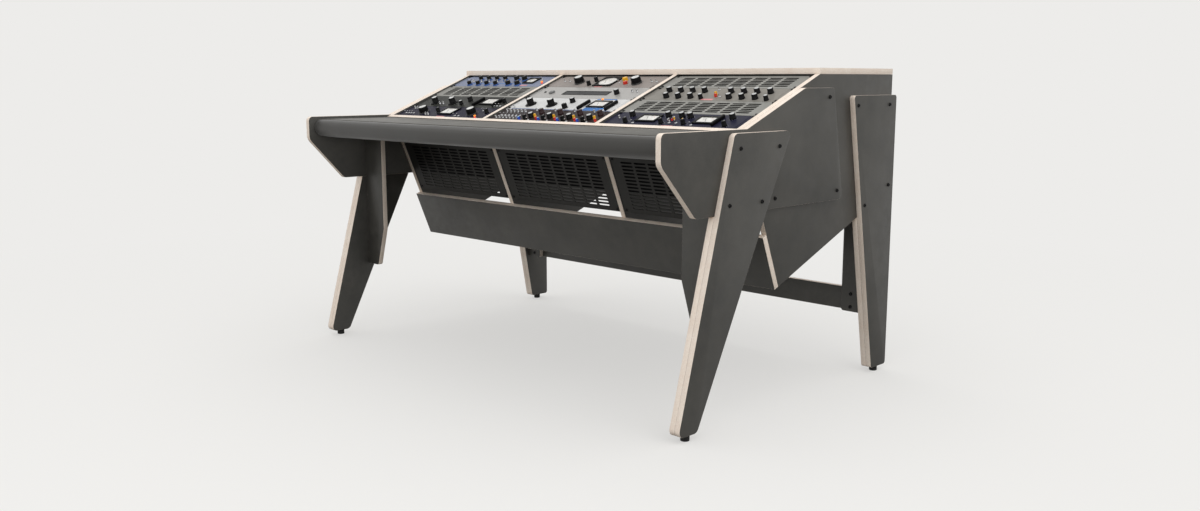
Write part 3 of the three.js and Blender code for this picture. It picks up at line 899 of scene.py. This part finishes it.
def makeArmrest():
    look = restLook
    # drawn a little small, because the cover swells
    inset = look["cap"]
    nose = frontY + look["noseSetback"] + inset
    top, bottom = worktopZ, worktopZ - look["height"] + inset
    outline = [
        (creaseY, top, 0.0015), (nose, top, look["noseRadius"]), (nose, bottom, look["noseRadius"]),
        (nose + look["depth"], bottom, 0.006), (nose + look["depth"], restUnder, 0.001),
        (creaseY, restUnder, 0),
    ]
    across = acrossX(-betweenArms)
    roll = outlinePlate("armrestPad", outline, 2 * betweenArms, across, look["rounding"], 10)
    swellUnderCover(roll)
    give(roll, "cover")
    standFor(roll, "desk", "padding", "armrest")


makeArmrest()
print("armrest made")

# levelling feet
footLook = {
    "pad": 0.0115, "height": 0.0145, "stem": 0.005, "grip": 0.026, "pitch": 0.0012, "groove": 0.0006,
    "frontSetback": 0.0965, "rearSetback": 0.0395,
}


def makeFeet():
    look = footLook
    radius, height, stem, pitch = look["pad"], look["height"], look["stem"], look["pitch"]
    rings = [
        (radius * 0.9, 0.0), (radius * 0.975, 0.0006), (radius, 0.0020), (radius, height * 0.86),
        (radius * 0.97, height * 0.94), (radius * 0.88, height * 0.985),
        (radius * 0.6, height * 0.99), (radius * 0.46, height),
    ]
    while height + pitch < common["legBottom"]:
        rings += [(stem - look["groove"], height + pitch / 2), (stem, height + pitch)]
        height += pitch
    top = common["legBottom"] + look["grip"]
    rings += [(stem, top - 0.0008), (stem - 0.0008, top)]
    pattern = give(turnedPiece("footPattern", rings, 40), "rubber")
    spots = {
        "front": (outerIn - seat / 2, frontY + look["frontSetback"]),
        "rear": (armIn - seat / 2, rearY - look["rearSetback"]),
    }
    for end, (x, y) in spots.items():
        for side, hand in hands:
            name = f"foot_{end}_{hand}"
            foot = copyTo(pattern, [shift(side * x, y)])[0]
            foot.name = foot.data.name = f"levelFoot_{end}_{hand}"
            standFor(foot, name, "foot_black", name)
    discard(pattern)


makeFeet()
print("feet made")

# slotted vent panels
ventLook = {
    "gauge": 0.002, "fold": 0.018, "columns": 8, "columnPitch": 0.0517, "rowPitch": 0.01105,
    "slotLength": 0.043,
}
lowerVentLook = {
    "height": 0.1778, "down": 0.103, "out": 0.002, "rows": 14, "slotHeight": 0.0058,
    "screwOut": 0.2325, "screwIn": 0.008,
}
rackVentLook = {
    "slots": ((0, 2), (2, 1), (2, 3)), "rows": 6, "slotHeight": 0.0074,
    "clothWidth": 0.424, "clothMargin": 0.004, "clothBack": -0.0034, "clothFront": -0.0026,
}
rackLook = {
    "pitch": 0.0889, "gap": 0.0008, "end": 0.0012, "recess": 0.005, "width": 0.4826,
    "height": 0.0881, "thickness": 0.003, "screwOut": 0.2328, "screwUp": 0.0381,
}


def ventSheet(name, width, height, rows, slotHeight, foldsAcross, finish):
    # the folds stand along the long edges (across) or along the ends
    look = ventLook
    gauge = look["gauge"]
    sheet = give(boxPiece(name, (-width / 2, 0, -gauge), (width / 2, height, 0), rounding=0), finish)
    editMode(sheet)
    if foldsAcross:
        normal, points = (0, 1, 0), ((0, gauge, 0), (0, height - gauge, 0))
    else:
        normal, points = (1, 0, 0), ((gauge - width / 2, 0, 0), (width / 2 - gauge, 0, 0))
    for point in points:
        bpy.ops.mesh.select_all(action="SELECT")
        bpy.ops.mesh.bisect(plane_co=point, plane_no=normal)

    def isFold(face):
        middle = face.calc_center_median()
        outside = (
            abs(middle.y - height / 2) > height / 2 - gauge if foldsAcross
            else abs(middle.x) > width / 2 - gauge
        )
        return face.normal.z < -0.9 and outside

    pick(sheet, "FACE", isFold)
    bpy.ops.mesh.extrude_region_move(TRANSFORM_OT_translate={"value": (0, 0, gauge - look["fold"])})
    half = slotHeight / 2
    reach = look["slotLength"] / 2 - half
    deselect()
    bpy.ops.mesh.primitive_cylinder_add(vertices=16, radius=half, depth=4 * gauge)
    punch = bpy.context.object
    editMode(punch)
    for side in (-1, 1):
        pick(punch, "VERT", lambda vertex: vertex.co.x * side > 1e-6)
        bpy.ops.transform.translate(value=(side * reach, 0, 0))
    bpy.ops.object.mode_set(mode="OBJECT")
    places = []
    for row in range(rows):
        for column in range(look["columns"]):
            x = (column - (look["columns"] - 1) / 2) * look["columnPitch"]
            y = height / 2 + (row - (rows - 1) / 2) * look["rowPitch"]
            places.append(shift(x, y, -gauge / 2))
    # the walls of the slots are given the matte black finish, painted shade for the shadow inside them
    punches = give(joined("slotPunches", copyTo(punch, places)), "dustBlack")
    discard(punch)
    applyModifier(sheet, "BOOLEAN", {
        "operation": "DIFFERENCE", "solver": "EXACT", "object": punches, "material_mode": "TRANSFER",
    })
    discard(punches)
    smooth(sheet)
    return sheet


screwLook = {"radius": 0.0042, "height": 0.0022, "socket": 0.0021}


def screwPattern():
    look = screwLook
    radius, height, socket = look["radius"], look["height"], look["socket"]
    rings = [
        (radius, 0.0), (radius, height * 0.6), (radius * 0.82, height), (socket, height),
        (socket * 0.96, height * 0.3),
    ]
    return give(turnedPiece("screwPattern", rings, 18), "boltBlack")


def makeLowerVents():
    look = lowerVentLook
    width, height = common["bay"] - 2 * seat, look["height"]
    ups = (look["screwIn"], height - look["screwIn"])
    screw = screwPattern()
    for bay, bayName in enumerate(bayNames):
        sheet = ventSheet(
            f"lowerVentSheet_{bayName}", width, height, look["rows"], look["slotHeight"], False, "ventBlack"
        )
        spots = [shift(side * look["screwOut"], up) for side in (-1, 1) for up in ups]
        sheet = joined(f"lowerVent_{bayName}", [sheet] + copyTo(screw, spots))
        place = shift(bayCentre(bay), look["out"], -look["down"] - height)
        settle(sheet, rackPlace @ place @ turned(90, "X"))
        standFor(sheet, "desk", "vent_black", f"lower_vent_{bayName}")
    discard(screw)


def panelPlace(bay, level):
    look = rackLook
    up = look["end"] + level * look["pitch"] + look["gap"] / 2
    return rackPlace @ shift(bayCentre(bay), up, -look["recess"])


def rackScrews(screw):
    out, up, middle = rackLook["screwOut"], rackLook["screwUp"], rackLook["height"] / 2
    return copyTo(screw, [shift(x, middle + y) for x in (-out, out) for y in (-up, up)])


def slotName(bay, level):
    return f"{bayNames[bay]}_bay_{level + 1}"


def makeRackVents():
    look = rackVentLook
    width, height = rackLook["width"], rackLook["height"]
    reach, margin = look["clothWidth"] / 2, look["clothMargin"]
    screw = screwPattern()
    for bay, level in look["slots"]:
        name = slotName(bay, level)
        sheet = ventSheet(
            f"rackVentSheet_{name}", width, height, look["rows"], look["slotHeight"], True, "ventGrey"
        )
        # a black sheet lies just behind the slots, painted shade for the dark inside of the unit
        low, high = (-reach, margin, look["clothBack"]), (reach, height - margin, look["clothFront"])
        cloth = boxPiece("shadeSheet", low, high, rounding=0)
        sheet = joined(f"rackVent_{name}", [sheet, give(cloth, "dustBlack")] + rackScrews(screw))
        settle(sheet, panelPlace(bay, level))
        standFor(sheet, "desk", "vent_steel", f"rack_vent_{name}")
    discard(screw)


makeLowerVents()
makeRackVents()
for name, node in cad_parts.items():
    if name.startswith("rack_rail"):
        give(node, "zinc")
print("vents and rails made")

# control units: knobs, meters, lamps and marks
def knobPattern(
    name, radius, height, body, cap=None, skirt=None, skirtRadius=0.0, sides=20, start=0.0
):
    # a fluted knob, with a skirt under it and a cap on it where these are named
    parts = []
    base = start
    if skirt:
        rings = [
            (skirtRadius, start), (skirtRadius, start + 0.0016), (skirtRadius * 0.93, start + 0.0028),
            (radius * 1.06, start + 0.0042),
        ]
        parts.append(give(turnedPiece("skirt", rings, 28), skirt))
        base = start + 0.0036
    middle = height * 0.34
    rings = [
        (radius, base), (radius, height * 0.30), (radius * 0.96, middle),
        (radius * 0.94, height * 0.93), (radius * 0.90, height * 0.985), (radius * 0.84, height),
    ]
    knob = turnedPiece("knobBody", rings, sides)

    def isFlute(vertex):
        turn = math.atan2(vertex.co.y, vertex.co.x) / math.tau * sides
        return round(turn) % 2 == 0 and vertex.co.z > middle - 1e-6

    editMode(knob)
    pick(knob, "VERT", isFlute)
    bpy.ops.transform.resize(value=(0.93, 0.93, 1), center_override=(0, 0, 0))
    bpy.ops.object.mode_set(mode="OBJECT")
    parts.append(give(knob, body))
    if cap:
        edge = radius * 0.74
        rings = [(edge, height - 0.0002), (edge, height + 0.0004), (radius * 0.68, height + 0.0007)]
        parts.append(give(turnedPiece("knobCap", rings, 22), cap))
    thin = radius * 0.07
    line = boxPiece(
        "knobLine", (-thin, radius * 0.18, height * 0.8), (thin, radius * 0.8, height + 0.0008),
        rounding=0.0001, segments=1,
    )
    parts.append(give(line, "markWhite"))
    return joined(name, parts)


tickLook = {"width": 0.0006, "low": -0.0002, "high": 0.00012, "sweep": 300}


def tickRing(name, radius, finish, count, length):
    # painted scale marks round a knob
    look = tickLook
    half, sweep = look["width"] / 2, look["sweep"]
    tick = boxPiece(
        "tick", (-half, radius, look["low"]), (half, radius + length, look["high"]), rounding=0
    )
    turns = [sweep * index / (count - 1) - sweep / 2 for index in range(count)]
    ring = joined(name, copyTo(give(tick, finish), [turned(turn, "Z") for turn in turns]))
    discard(tick)
    return ring


meterLook = {
    "tall": 0.004, "rim": 0.0062, "lip": 0.0006, "sunk": 0.0018, "card": 0.0022, "ovalRim": 0.014,
    "marks": 9, "redFrom": 6, "firstMark": 48, "markStep": 12, "needle": 30,
}


def meterPattern(width, height, oval):
    # a raised bezel with a sunk card, arc marks and a needle
    look = meterLook
    low, high = (-width / 2, -height / 2, 0), (width / 2, height / 2, look["tall"])
    bezel = give(boxPiece("bezel", low, high, rounding=0), "knobBlack")
    sinkTop(bezel, look["rim"], look["lip"], look["sunk"], "meterInk" if oval else "meterCard")
    roundEdges(bezel, 0.0004, 2, 40)
    smooth(bezel)
    parts = [bezel]
    card = look["card"]
    if oval:
        # the card is an ellipse that stands a little above the sunk floor
        rings = [(0.5, card - 0.0002), (0.5, card + 0.0004), (0.49, card + 0.0006)]
        face = turnedPiece("ovalCard", rings, 40)
        face.scale = (width - look["ovalRim"], height - look["ovalRim"], 1)
        settle(face, Matrix())
        parts.append(give(face, "meterCard"))
        card += 0.0006
    reach = min(width * 0.32, height * 0.55)
    base = shift(0, -height * 0.22)

    def strokes(name, half, start, end, low, high, finish, turns):
        stroke = boxPiece(name, (-half, start, card + low), (half, end, card + high), rounding=0)
        places = [base @ turned(turn, "Z") for turn in turns]
        copies = copyTo(give(stroke, finish), places)
        discard(stroke)
        return copies

    turns = [look["firstMark"] - look["markStep"] * index for index in range(look["marks"])]
    black, red = turns[:look["redFrom"]], turns[look["redFrom"]:]
    parts += strokes("mark", 0.00025, reach * 0.86, reach, 0, 0.0001, "meterInk", black)
    parts += strokes("markRed", 0.0004, reach * 0.9, reach, 0, 0.0001, "meterRed", red)
    parts += strokes("needle", 0.0003, 0, reach * 0.95, 0.0002, 0.0005, "meterInk", [look["needle"]])
    return joined("meter", parts)


def togglePattern(name):
    # a chrome bat switch on a round collar
    collar = turnedPiece("collar", [(0.0042, 0), (0.0042, 0.0014), (0.0034, 0.0022), (0.0022, 0.0024)], 14)
    lever = turnedPiece("lever", [(0.0010, 0.001), (0.0011, 0.006), (0.0018, 0.0105), (0.0013, 0.0118)], 12)
    lever.data.transform(turned(16, "X"))
    return joined(name, [give(collar, "chrome"), give(lever, "chrome")])


def lampPattern(name, radius, finish):
    # a lit dome in a chrome ring
    edge = radius * 1.3
    ring = turnedPiece("lampRing", [(edge, 0), (edge, 0.001), (radius * 1.05, 0.0014)], 16)
    rings = [(radius, 0.001), (radius, 0.0026), (radius * 0.8, 0.0040), (radius * 0.4, 0.0047)]
    return joined(name, [give(ring, "chrome"), give(turnedPiece("lampDome", rings, 16), finish)])


# (radius, height, body, cap, skirt, skirt radius)
knobLooks = {
    "small": (0.0068, 0.0145, "knobBlack"),
    "capped": (0.0068, 0.0145, "knobBlack", "capSilver"),
    "medium": (0.0088, 0.0145, "knobBlack", "capSilver"),
    "plain": (0.0088, 0.0145, "knobBlack"),
    "skirted": (0.0078, 0.0150, "knobBlack", None, "skirtBlue", 0.0104),
    "broad": (0.0096, 0.0150, "knobBlack", None, "skirtBlue", 0.0124),
    "maroon": (0.0088, 0.0150, "knobMaroon"),
    "greyCap": (0.0096, 0.0140, "knobBlack", "capSilver"),
    "flat": (0.0105, 0.0045, "knobGrey"),
    "yellow": (0.0042, 0.0100, "capYellow"),
    "red": (0.0042, 0.0090, "capRed"),
    "blue": (0.0042, 0.0090, "capBlue", "capSky"),
    "smallYellow": (0.0026, 0.0070, "capYellow"),
    "smallRed": (0.0026, 0.0060, "capRed"),
    "bigYellow": (0.0090, 0.0110, "capYellow"),
    "bigRed": (0.0076, 0.0080, "capRed"),
    "chrome": (0.0034, 0.0095, "chrome"),
}
# (radius, finish, count, length)
tickLooks = {
    "smallTicks": (0.0100, "markWhite", 9, 0.0018),
    "darkTicks": (0.0100, "meterInk", 9, 0.0018),
    "bigTicks": (0.0200, "markWhite", 11, 0.0030),
    "bigDarkTicks": (0.0200, "meterInk", 11, 0.0030),
}
gripLook = {"width": 0.0084, "length": 0.058, "tall": 0.010, "rounding": 0.0026}


def makePatterns():
    made = {name: knobPattern(f"{name}Knob", *look) for name, look in knobLooks.items()}
    made.update({name: tickRing(name, *look) for name, look in tickLooks.items()})
    look = gripLook
    x, y = look["width"] / 2, look["length"] / 2
    grip = boxPiece("meterHandle", (-x, -y, 0), (x, y, look["tall"]), rounding=look["rounding"], segments=4)
    made.update({
        "toggle": togglePattern("toggleSwitch"), "screw": screwPattern(),
        "orangeLamp": lampPattern("orangeLamp", 0.0042, "lampOrange"),
        "redLamp": lampPattern("redLamp", 0.0036, "lampRed"), "handle": give(grip, "knobBlack"),
    })
    return made


# the paint is a screen colour; places and sizes are shares of the panel: controls as (pattern,
# x, y) or, for an even row, (pattern, first x, last x, y, count); meters and ovals as (x, y,
# width, height), labels with a finish as well, the display as (left, right, bottom, top)
unitLooks = {
    (0, 0): {
        "slot": "unit_navy", "paint": (28, 25, 46), "marks": "smallTicks", "bigMarks": "bigTicks",
        "turning": [(0.259, 0.435), (0.796, 0.435)], "knob": "broad",
        "rows": [
            ("small", 0.403, 0.53), ("small", 0.93, 0.55), ("toggle", 0.075, 0.165, 0.30, 4),
            ("chrome", 0.09, 0.15, 0.72, 3), ("orangeLamp", 0.868, 0.24), ("redLamp", 0.9, 0.1),
            ("toggle", 0.66, 0.70, 0.2, 2), ("chrome", 0.33, 0.36, 0.2, 2),
            ("toggle", 0.86, 0.88, 0.72, 2),
        ],
        "meters": [(0.515, 0.576, 0.15, 0.58)],
        "labels": [(0.515, 0.1, 0.09, 0.08, "labelPink")],
    },
    (0, 1): {
        "slot": "unit_moss", "paint": (50, 51, 48), "marks": "smallTicks", "bigMarks": "bigTicks",
        "turning": [(0.19, 0.33), (0.39, 0.33)], "knob": "slim",
        "rows": [
            ("capped", 0.511, 0.22), ("plain", 0.531, 0.6), ("small", 0.92, 0.5),
            ("toggle", 0.875, 0.94, 0.16, 3), ("chrome", 0.27, 0.31, 0.2, 2),
            ("chrome", 0.27, 0.31, 0.75, 2),
        ],
        "handles": [(0.66, 0.42), (0.87, 0.42)],
        "meters": [(0.765, 0.526, 0.145, 0.56)],
    },
    (0, 3): {
        "slot": "unit_blue", "paint": (130, 138, 160),
        "rows": [
            ("skirted", 0.224, 0.501, 0.63, 4), ("broad", 0.629, 0.713, 0.62, 2),
            ("skirted", 0.19, 0.487, 0.14, 4), ("broad", 0.623, 0.722, 0.16, 2),
            ("chrome", 0.18, 0.54, 0.42, 5), ("orangeLamp", 0.923, 0.44), ("redLamp", 0.95, 0.31),
            ("toggle", 0.09, 0.14, 0.5, 2), ("toggle", 0.88, 0.7),
        ],
        "ovals": [(0.8, 0.54, 0.11, 0.5)],
        "labels": [(0.79, 0.13, 0.07, 0.08, "labelPink"), (0.45, 0.28, 0.6, 0.05, "labelBlue")],
    },
    (1, 0): {
        "slot": "unit_brown", "paint": (52, 43, 44),
        "rows": [
            ("maroon", 0.409, 0.93, 0.69, 4), ("greyCap", 0.371, 0.894, 0.37, 4),
            ("small", 0.349, 0.87, 0.17, 4), ("yellow", 0.404, 0.932, 0.385, 4),
            ("red", 0.454, 0.973, 0.18, 4), ("blue", 0.483, 0.829, 0.13, 3),
            ("chrome", 0.07, 0.25, 0.72, 6), ("toggle", 0.07, 0.25, 0.42, 6),
            ("chrome", 0.07, 0.27, 0.16, 7), ("blue", 0.3, 0.13), ("toggle", 0.39, 0.91, 0.1, 4),
            ("chrome", 0.33, 0.85, 0.86, 4),
        ],
    },
    (1, 1): {
        "slot": "unit_white", "paint": (214, 214, 213), "marks": "darkTicks",
        "bigMarks": "bigDarkTicks", "turning": [(0.17, 0.39), (0.37, 0.38)], "knob": "slim",
        "rows": [
            ("plain", 0.532, 0.17), ("medium", 0.515, 0.67), ("orangeLamp", 0.738, 0.92),
            ("chrome", 0.09, 0.8), ("toggle", 0.06, 0.12),
        ],
        "handles": [(0.665, 0.38), (0.905, 0.36)],
        "meters": [(0.775, 0.52, 0.15, 0.52)],
        "labels": [
            (0.785, 0.13, 0.17, 0.24, "labelBlue"), (0.77, 0.95, 0.17, 0.07, "labelBlue"),
            (0.5, 0.02, 0.9, 0.03, "skirtBlue"),
        ],
    },
    (1, 2): {
        "slot": "unit_silver",
        "rows": [
            ("flat", 0.171, 0.46), ("medium", 0.771, 0.45), ("chrome", 0.88, 0.92, 0.6, 2),
            ("screw", 0.1, 0.5),
        ],
        "display": (0.29, 0.7, 0.31, 0.61),
    },
    (1, 3): {
        "slot": "unit_grey", "paint": (148, 140, 135), "marks": "darkTicks",
        "bigMarks": "bigDarkTicks", "turning": [(0.27, 0.4), (0.791, 0.37)], "knob": "broad",
        "rows": [
            ("small", 0.396, 0.18), ("small", 0.405, 0.54), ("bigYellow", 0.656, 0.6),
            ("bigRed", 0.7, 0.33), ("toggle", 0.9, 0.94, 0.5, 2), ("toggle", 0.634, 0.4),
            ("toggle", 0.11, 0.16, 0.5, 2),
        ],
        "ovals": [(0.52, 0.47, 0.16, 0.78)],
        "labels": [(0.5, 0.04, 0.07, 0.06, "labelPink")],
    },
    (2, 0): {
        "slot": "unit_navy", "paint": (34, 34, 55), "marks": "smallTicks",
        "rows": [
            ("medium", 0.147, 0.74), ("medium", 0.42, 0.76), ("small", 0.437, 0.25),
            ("medium", 0.522, 0.582, 0.74, 2), ("small", 0.6, 0.25), ("medium", 0.87, 0.76),
            ("small", 0.17, 0.23), ("small", 0.885, 0.23), ("toggle", 0.23, 0.2),
            ("toggle", 0.49, 0.54, 0.3, 2), ("toggle", 0.66, 0.2), ("smallRed", 0.485, 0.48),
            ("smallYellow", 0.49, 0.56), ("smallYellow", 0.56, 0.5), ("chrome", 0.475, 0.4),
            ("chrome", 0.08, 0.5), ("toggle", 0.46, 0.72),
        ],
        "meters": [(0.3, 0.56, 0.15, 0.5), (0.725, 0.56, 0.15, 0.5)],
        "handles": [(0.805, 0.5)],
        "labels": [(0.5, 0.08, 0.08, 0.08, "labelPink")],
    },
    (2, 2): {
        "slot": "unit_sand", "paint": (140, 136, 129), "marks": "darkTicks",
        "rows": [
            ("medium", 0.134, 0.406, 0.68, 4), ("medium", 0.603, 0.875, 0.65, 4),
            ("medium", 0.18, 0.366, 0.2, 3), ("capped", 0.449, 0.15), ("medium", 0.646, 0.826, 0.2, 3),
            ("capped", 0.913, 0.11), ("yellow", 0.518, 0.46), ("red", 0.535, 0.32),
            ("toggle", 0.49, 0.85), ("toggle", 0.565, 0.3),
        ],
        "labels": [(0.5, 0.1, 0.085, 0.1, "labelPink")],
    },
}


chassisLook = {
    "width": 0.44, "margin": 0.008, "depth": 0.21, "front": -0.0015, "rounding": 0.0012,
    "sockets": (-0.15, -0.115, 0.02, 0.055, 0.09), "inlet": 0.17,
}


def unitChassis(name):
    # a folded steel box with a row of round sockets and an inlet at its rear
    look, height = chassisLook, rackLook["height"]
    half, margin, rounding = look["width"] / 2, look["margin"], look["rounding"]
    depth = -rackLook["thickness"] - look["depth"]
    low, high = (-half, margin, depth), (half, height - margin, look["front"])
    box = give(boxPiece(name, low, high, rounding=rounding), "chassis")
    rings = [(0.0098, 0), (0.0098, 0.0012), (0.0088, 0.0018), (0.0072, 0.0018), (0.0070, -0.0015)]
    socket = give(turnedPiece("socket", rings, 20), "boltBlack")
    inlet = boxPiece("inlet", (-0.014, -0.010, 0), (0.014, 0.010, 0.0022), rounding=rounding)
    sinkTop(give(inlet, "knobBlack"), 0.0022, 0.0004, 0.0016)
    rear = shift(0, height / 2, depth) @ turned(180, "X")
    fittings = copyTo(socket, [rear @ shift(spot) for spot in look["sockets"]])
    fittings += copyTo(inlet, [rear @ shift(look["inlet"])])
    discard(socket, inlet)
    return [box] + fittings


markedKnobs = ("small", "capped", "medium", "plain")
# the cover is the painted face between the ears of the panel
coverLook = {"half": 0.2215, "inset": 0.0006, "under": -0.0012}
labelLook = {"low": -0.0003, "high": 0.0002}
windowLook = {"low": -0.001, "high": 0.0016, "rim": 0.0012, "lip": 0.0003, "sunk": 0.0010}


def makeUnit(bay, level, look, patterns):
    width, height, thickness = rackLook["width"], rackLook["height"], rackLook["thickness"]
    half, inset, under = (coverLook[key] for key in ("half", "inset", "under"))
    name = slotName(bay, level)

    def at(xShare, yShare):
        return shift((xShare - 0.5) * width, yShare * height)

    if "paint" in look:
        paint = paintFinish(f"paint_{name}", fromScreen(*look["paint"]), 0.45, 0.0, 0.12)
    else:
        paint = brushedFinish(f"paint_{name}", fromScreen(188, 186, 183), (6.0, 700.0, 700.0), 0.4, 0.42)
    low, high = (-width / 2, 0, -thickness), (width / 2, height, -inset)
    panel = boxPiece(f"panel_{name}", low, high, rounding=0.0005)
    low, high = (-half, inset, under), (half, height - inset, 0)
    cover = boxPiece("cover", low, high, rounding=0.0003, segments=1)
    parts = [give(panel, paint), give(cover, paint)] + unitChassis(f"chassis_{name}")
    parts += rackScrews(patterns["screw"])
    for kind, x, *more in look["rows"]:
        last, y, count = more if len(more) == 3 else (x, more[0], 1)
        places = [at(x + (last - x) * index / max(count - 1, 1), y) for index in range(count)]
        parts += copyTo(patterns[kind], places)
        if "marks" in look and kind in markedKnobs:
            parts += copyTo(patterns[look["marks"]], places)
    for x, y in look.get("turning", []):
        parts += copyTo(patterns[look["bigMarks"]], [at(x, y)])
    for x, y in look.get("handles", []):
        parts += copyTo(patterns["handle"], [at(x, y)])
    for kind in ("meters", "ovals"):
        for x, y, wide, tall in look.get(kind, []):
            meter = meterPattern(wide * width, tall * height, kind == "ovals")
            meter.data.transform(at(x, y))
            parts.append(meter)
    for x, y, wide, tall, finish in look.get("labels", []):
        a, b = wide * width / 2, tall * height / 2
        low, high = (-a, -b, labelLook["low"]), (a, b, labelLook["high"])
        label = boxPiece("label", low, high, at(x, y), rounding=0.0001, segments=1)
        parts.append(give(label, finish))
    if "display" in look:
        left, right, bottom, top = look["display"]
        low = ((left - 0.5) * width, bottom * height, windowLook["low"])
        high = ((right - 0.5) * width, top * height, windowLook["high"])
        window = give(boxPiece("window", low, high, rounding=0), "meterInk")
        sinkTop(window, windowLook["rim"], windowLook["lip"], windowLook["sunk"])
        parts.append(window)
    unit = joined(f"controlUnit_{name}", parts)
    settle(unit, panelPlace(bay, level))
    standFor(unit, "desk", look["slot"], f"rack_unit_{name}")


turnLook = {
    "broad": {"radius": 0.0165, "height": 0.0205, "skirtRadius": 0.0175, "skirt": "skirtDusk"},
    "slim": {"radius": 0.0115, "height": 0.0205, "skirtRadius": 0.0185, "skirt": "knobBlack"},
}


def makeTurningKnobs(bay, level, look):
    for index, (x, y) in enumerate(look.get("turning", [])):
        name = f"{slotName(bay, level)}_{index + 1}"
        knob = knobPattern(
            f"turningKnob_{name}", body="knobBlack", cap="capWhite", sides=32, start=0.0003,
            **turnLook[look["knob"]],
        )
        place = shift((x - 0.5) * rackLook["width"], y * rackLook["height"])
        settle(knob, panelPlace(bay, level) @ place)
        standFor(knob, f"knob_{name}", "knob_black", f"knob_{name}")


patterns = makePatterns()
for (bay, level), look in unitLooks.items():
    makeUnit(bay, level, look, patterns)
    makeTurningKnobs(bay, level, look)
discard(*patterns.values())
print("control units made")

# black bolt heads in the side plates as (Y, Z), and in the rear gussets
boltLook = {
    "radius": 0.0053, "height": 0.0032, "socket": 0.003, "gussetX": 0.708, "gussetZ": (0.2325, 0.1935),
}
boltSpots = {
    "arm": (armIn + ply, [(0.1643, 0.8148), (-0.0719, 0.5607), (0.2138, 0.5606)]),
    "frontLeg": (outerIn + ply, [
        (-0.2387, 0.6961), (-0.0801, 0.6954), (-0.2777, 0.5602), (-0.1481, 0.5604),
    ]),
    "rearLeg": (armIn + ply, [(0.3072, 0.7896), (0.4741, 0.7901), (0.4844, 0.5575), (0.3596, 0.5071)]),
}


def makeBolts():
    look = boltLook
    radius, height, socket = look["radius"], look["height"], look["socket"]
    rings = [
        (radius, -0.0004), (radius, height * 0.45), (radius * 0.86, height * 0.9),
        (radius * 0.7, height), (socket, height), (socket * 0.96, height * 0.35),
    ]
    bolt = give(turnedPiece("boltPattern", rings, 28), "boltBlack")
    for kind, (face, spots) in boltSpots.items():
        for side, hand in hands:
            turn = turned(90 * side, "Y")
            heads = copyTo(bolt, [shift(side * face, y, z) @ turn for y, z in spots])
            standFor(joined(f"bolts_{kind}_{hand}", heads), "desk", "foot_black")
    turn = turned(90, "X")
    x, face = look["gussetX"], rearY - bracing["rearSetback"]
    heads = copyTo(bolt, [shift(side, face, z) @ turn for side in (-x, x) for z in look["gussetZ"]])
    standFor(joined("bolts_rearGusset", heads), "desk", "foot_black")
    discard(bolt)


makeBolts()
print("bolts made")
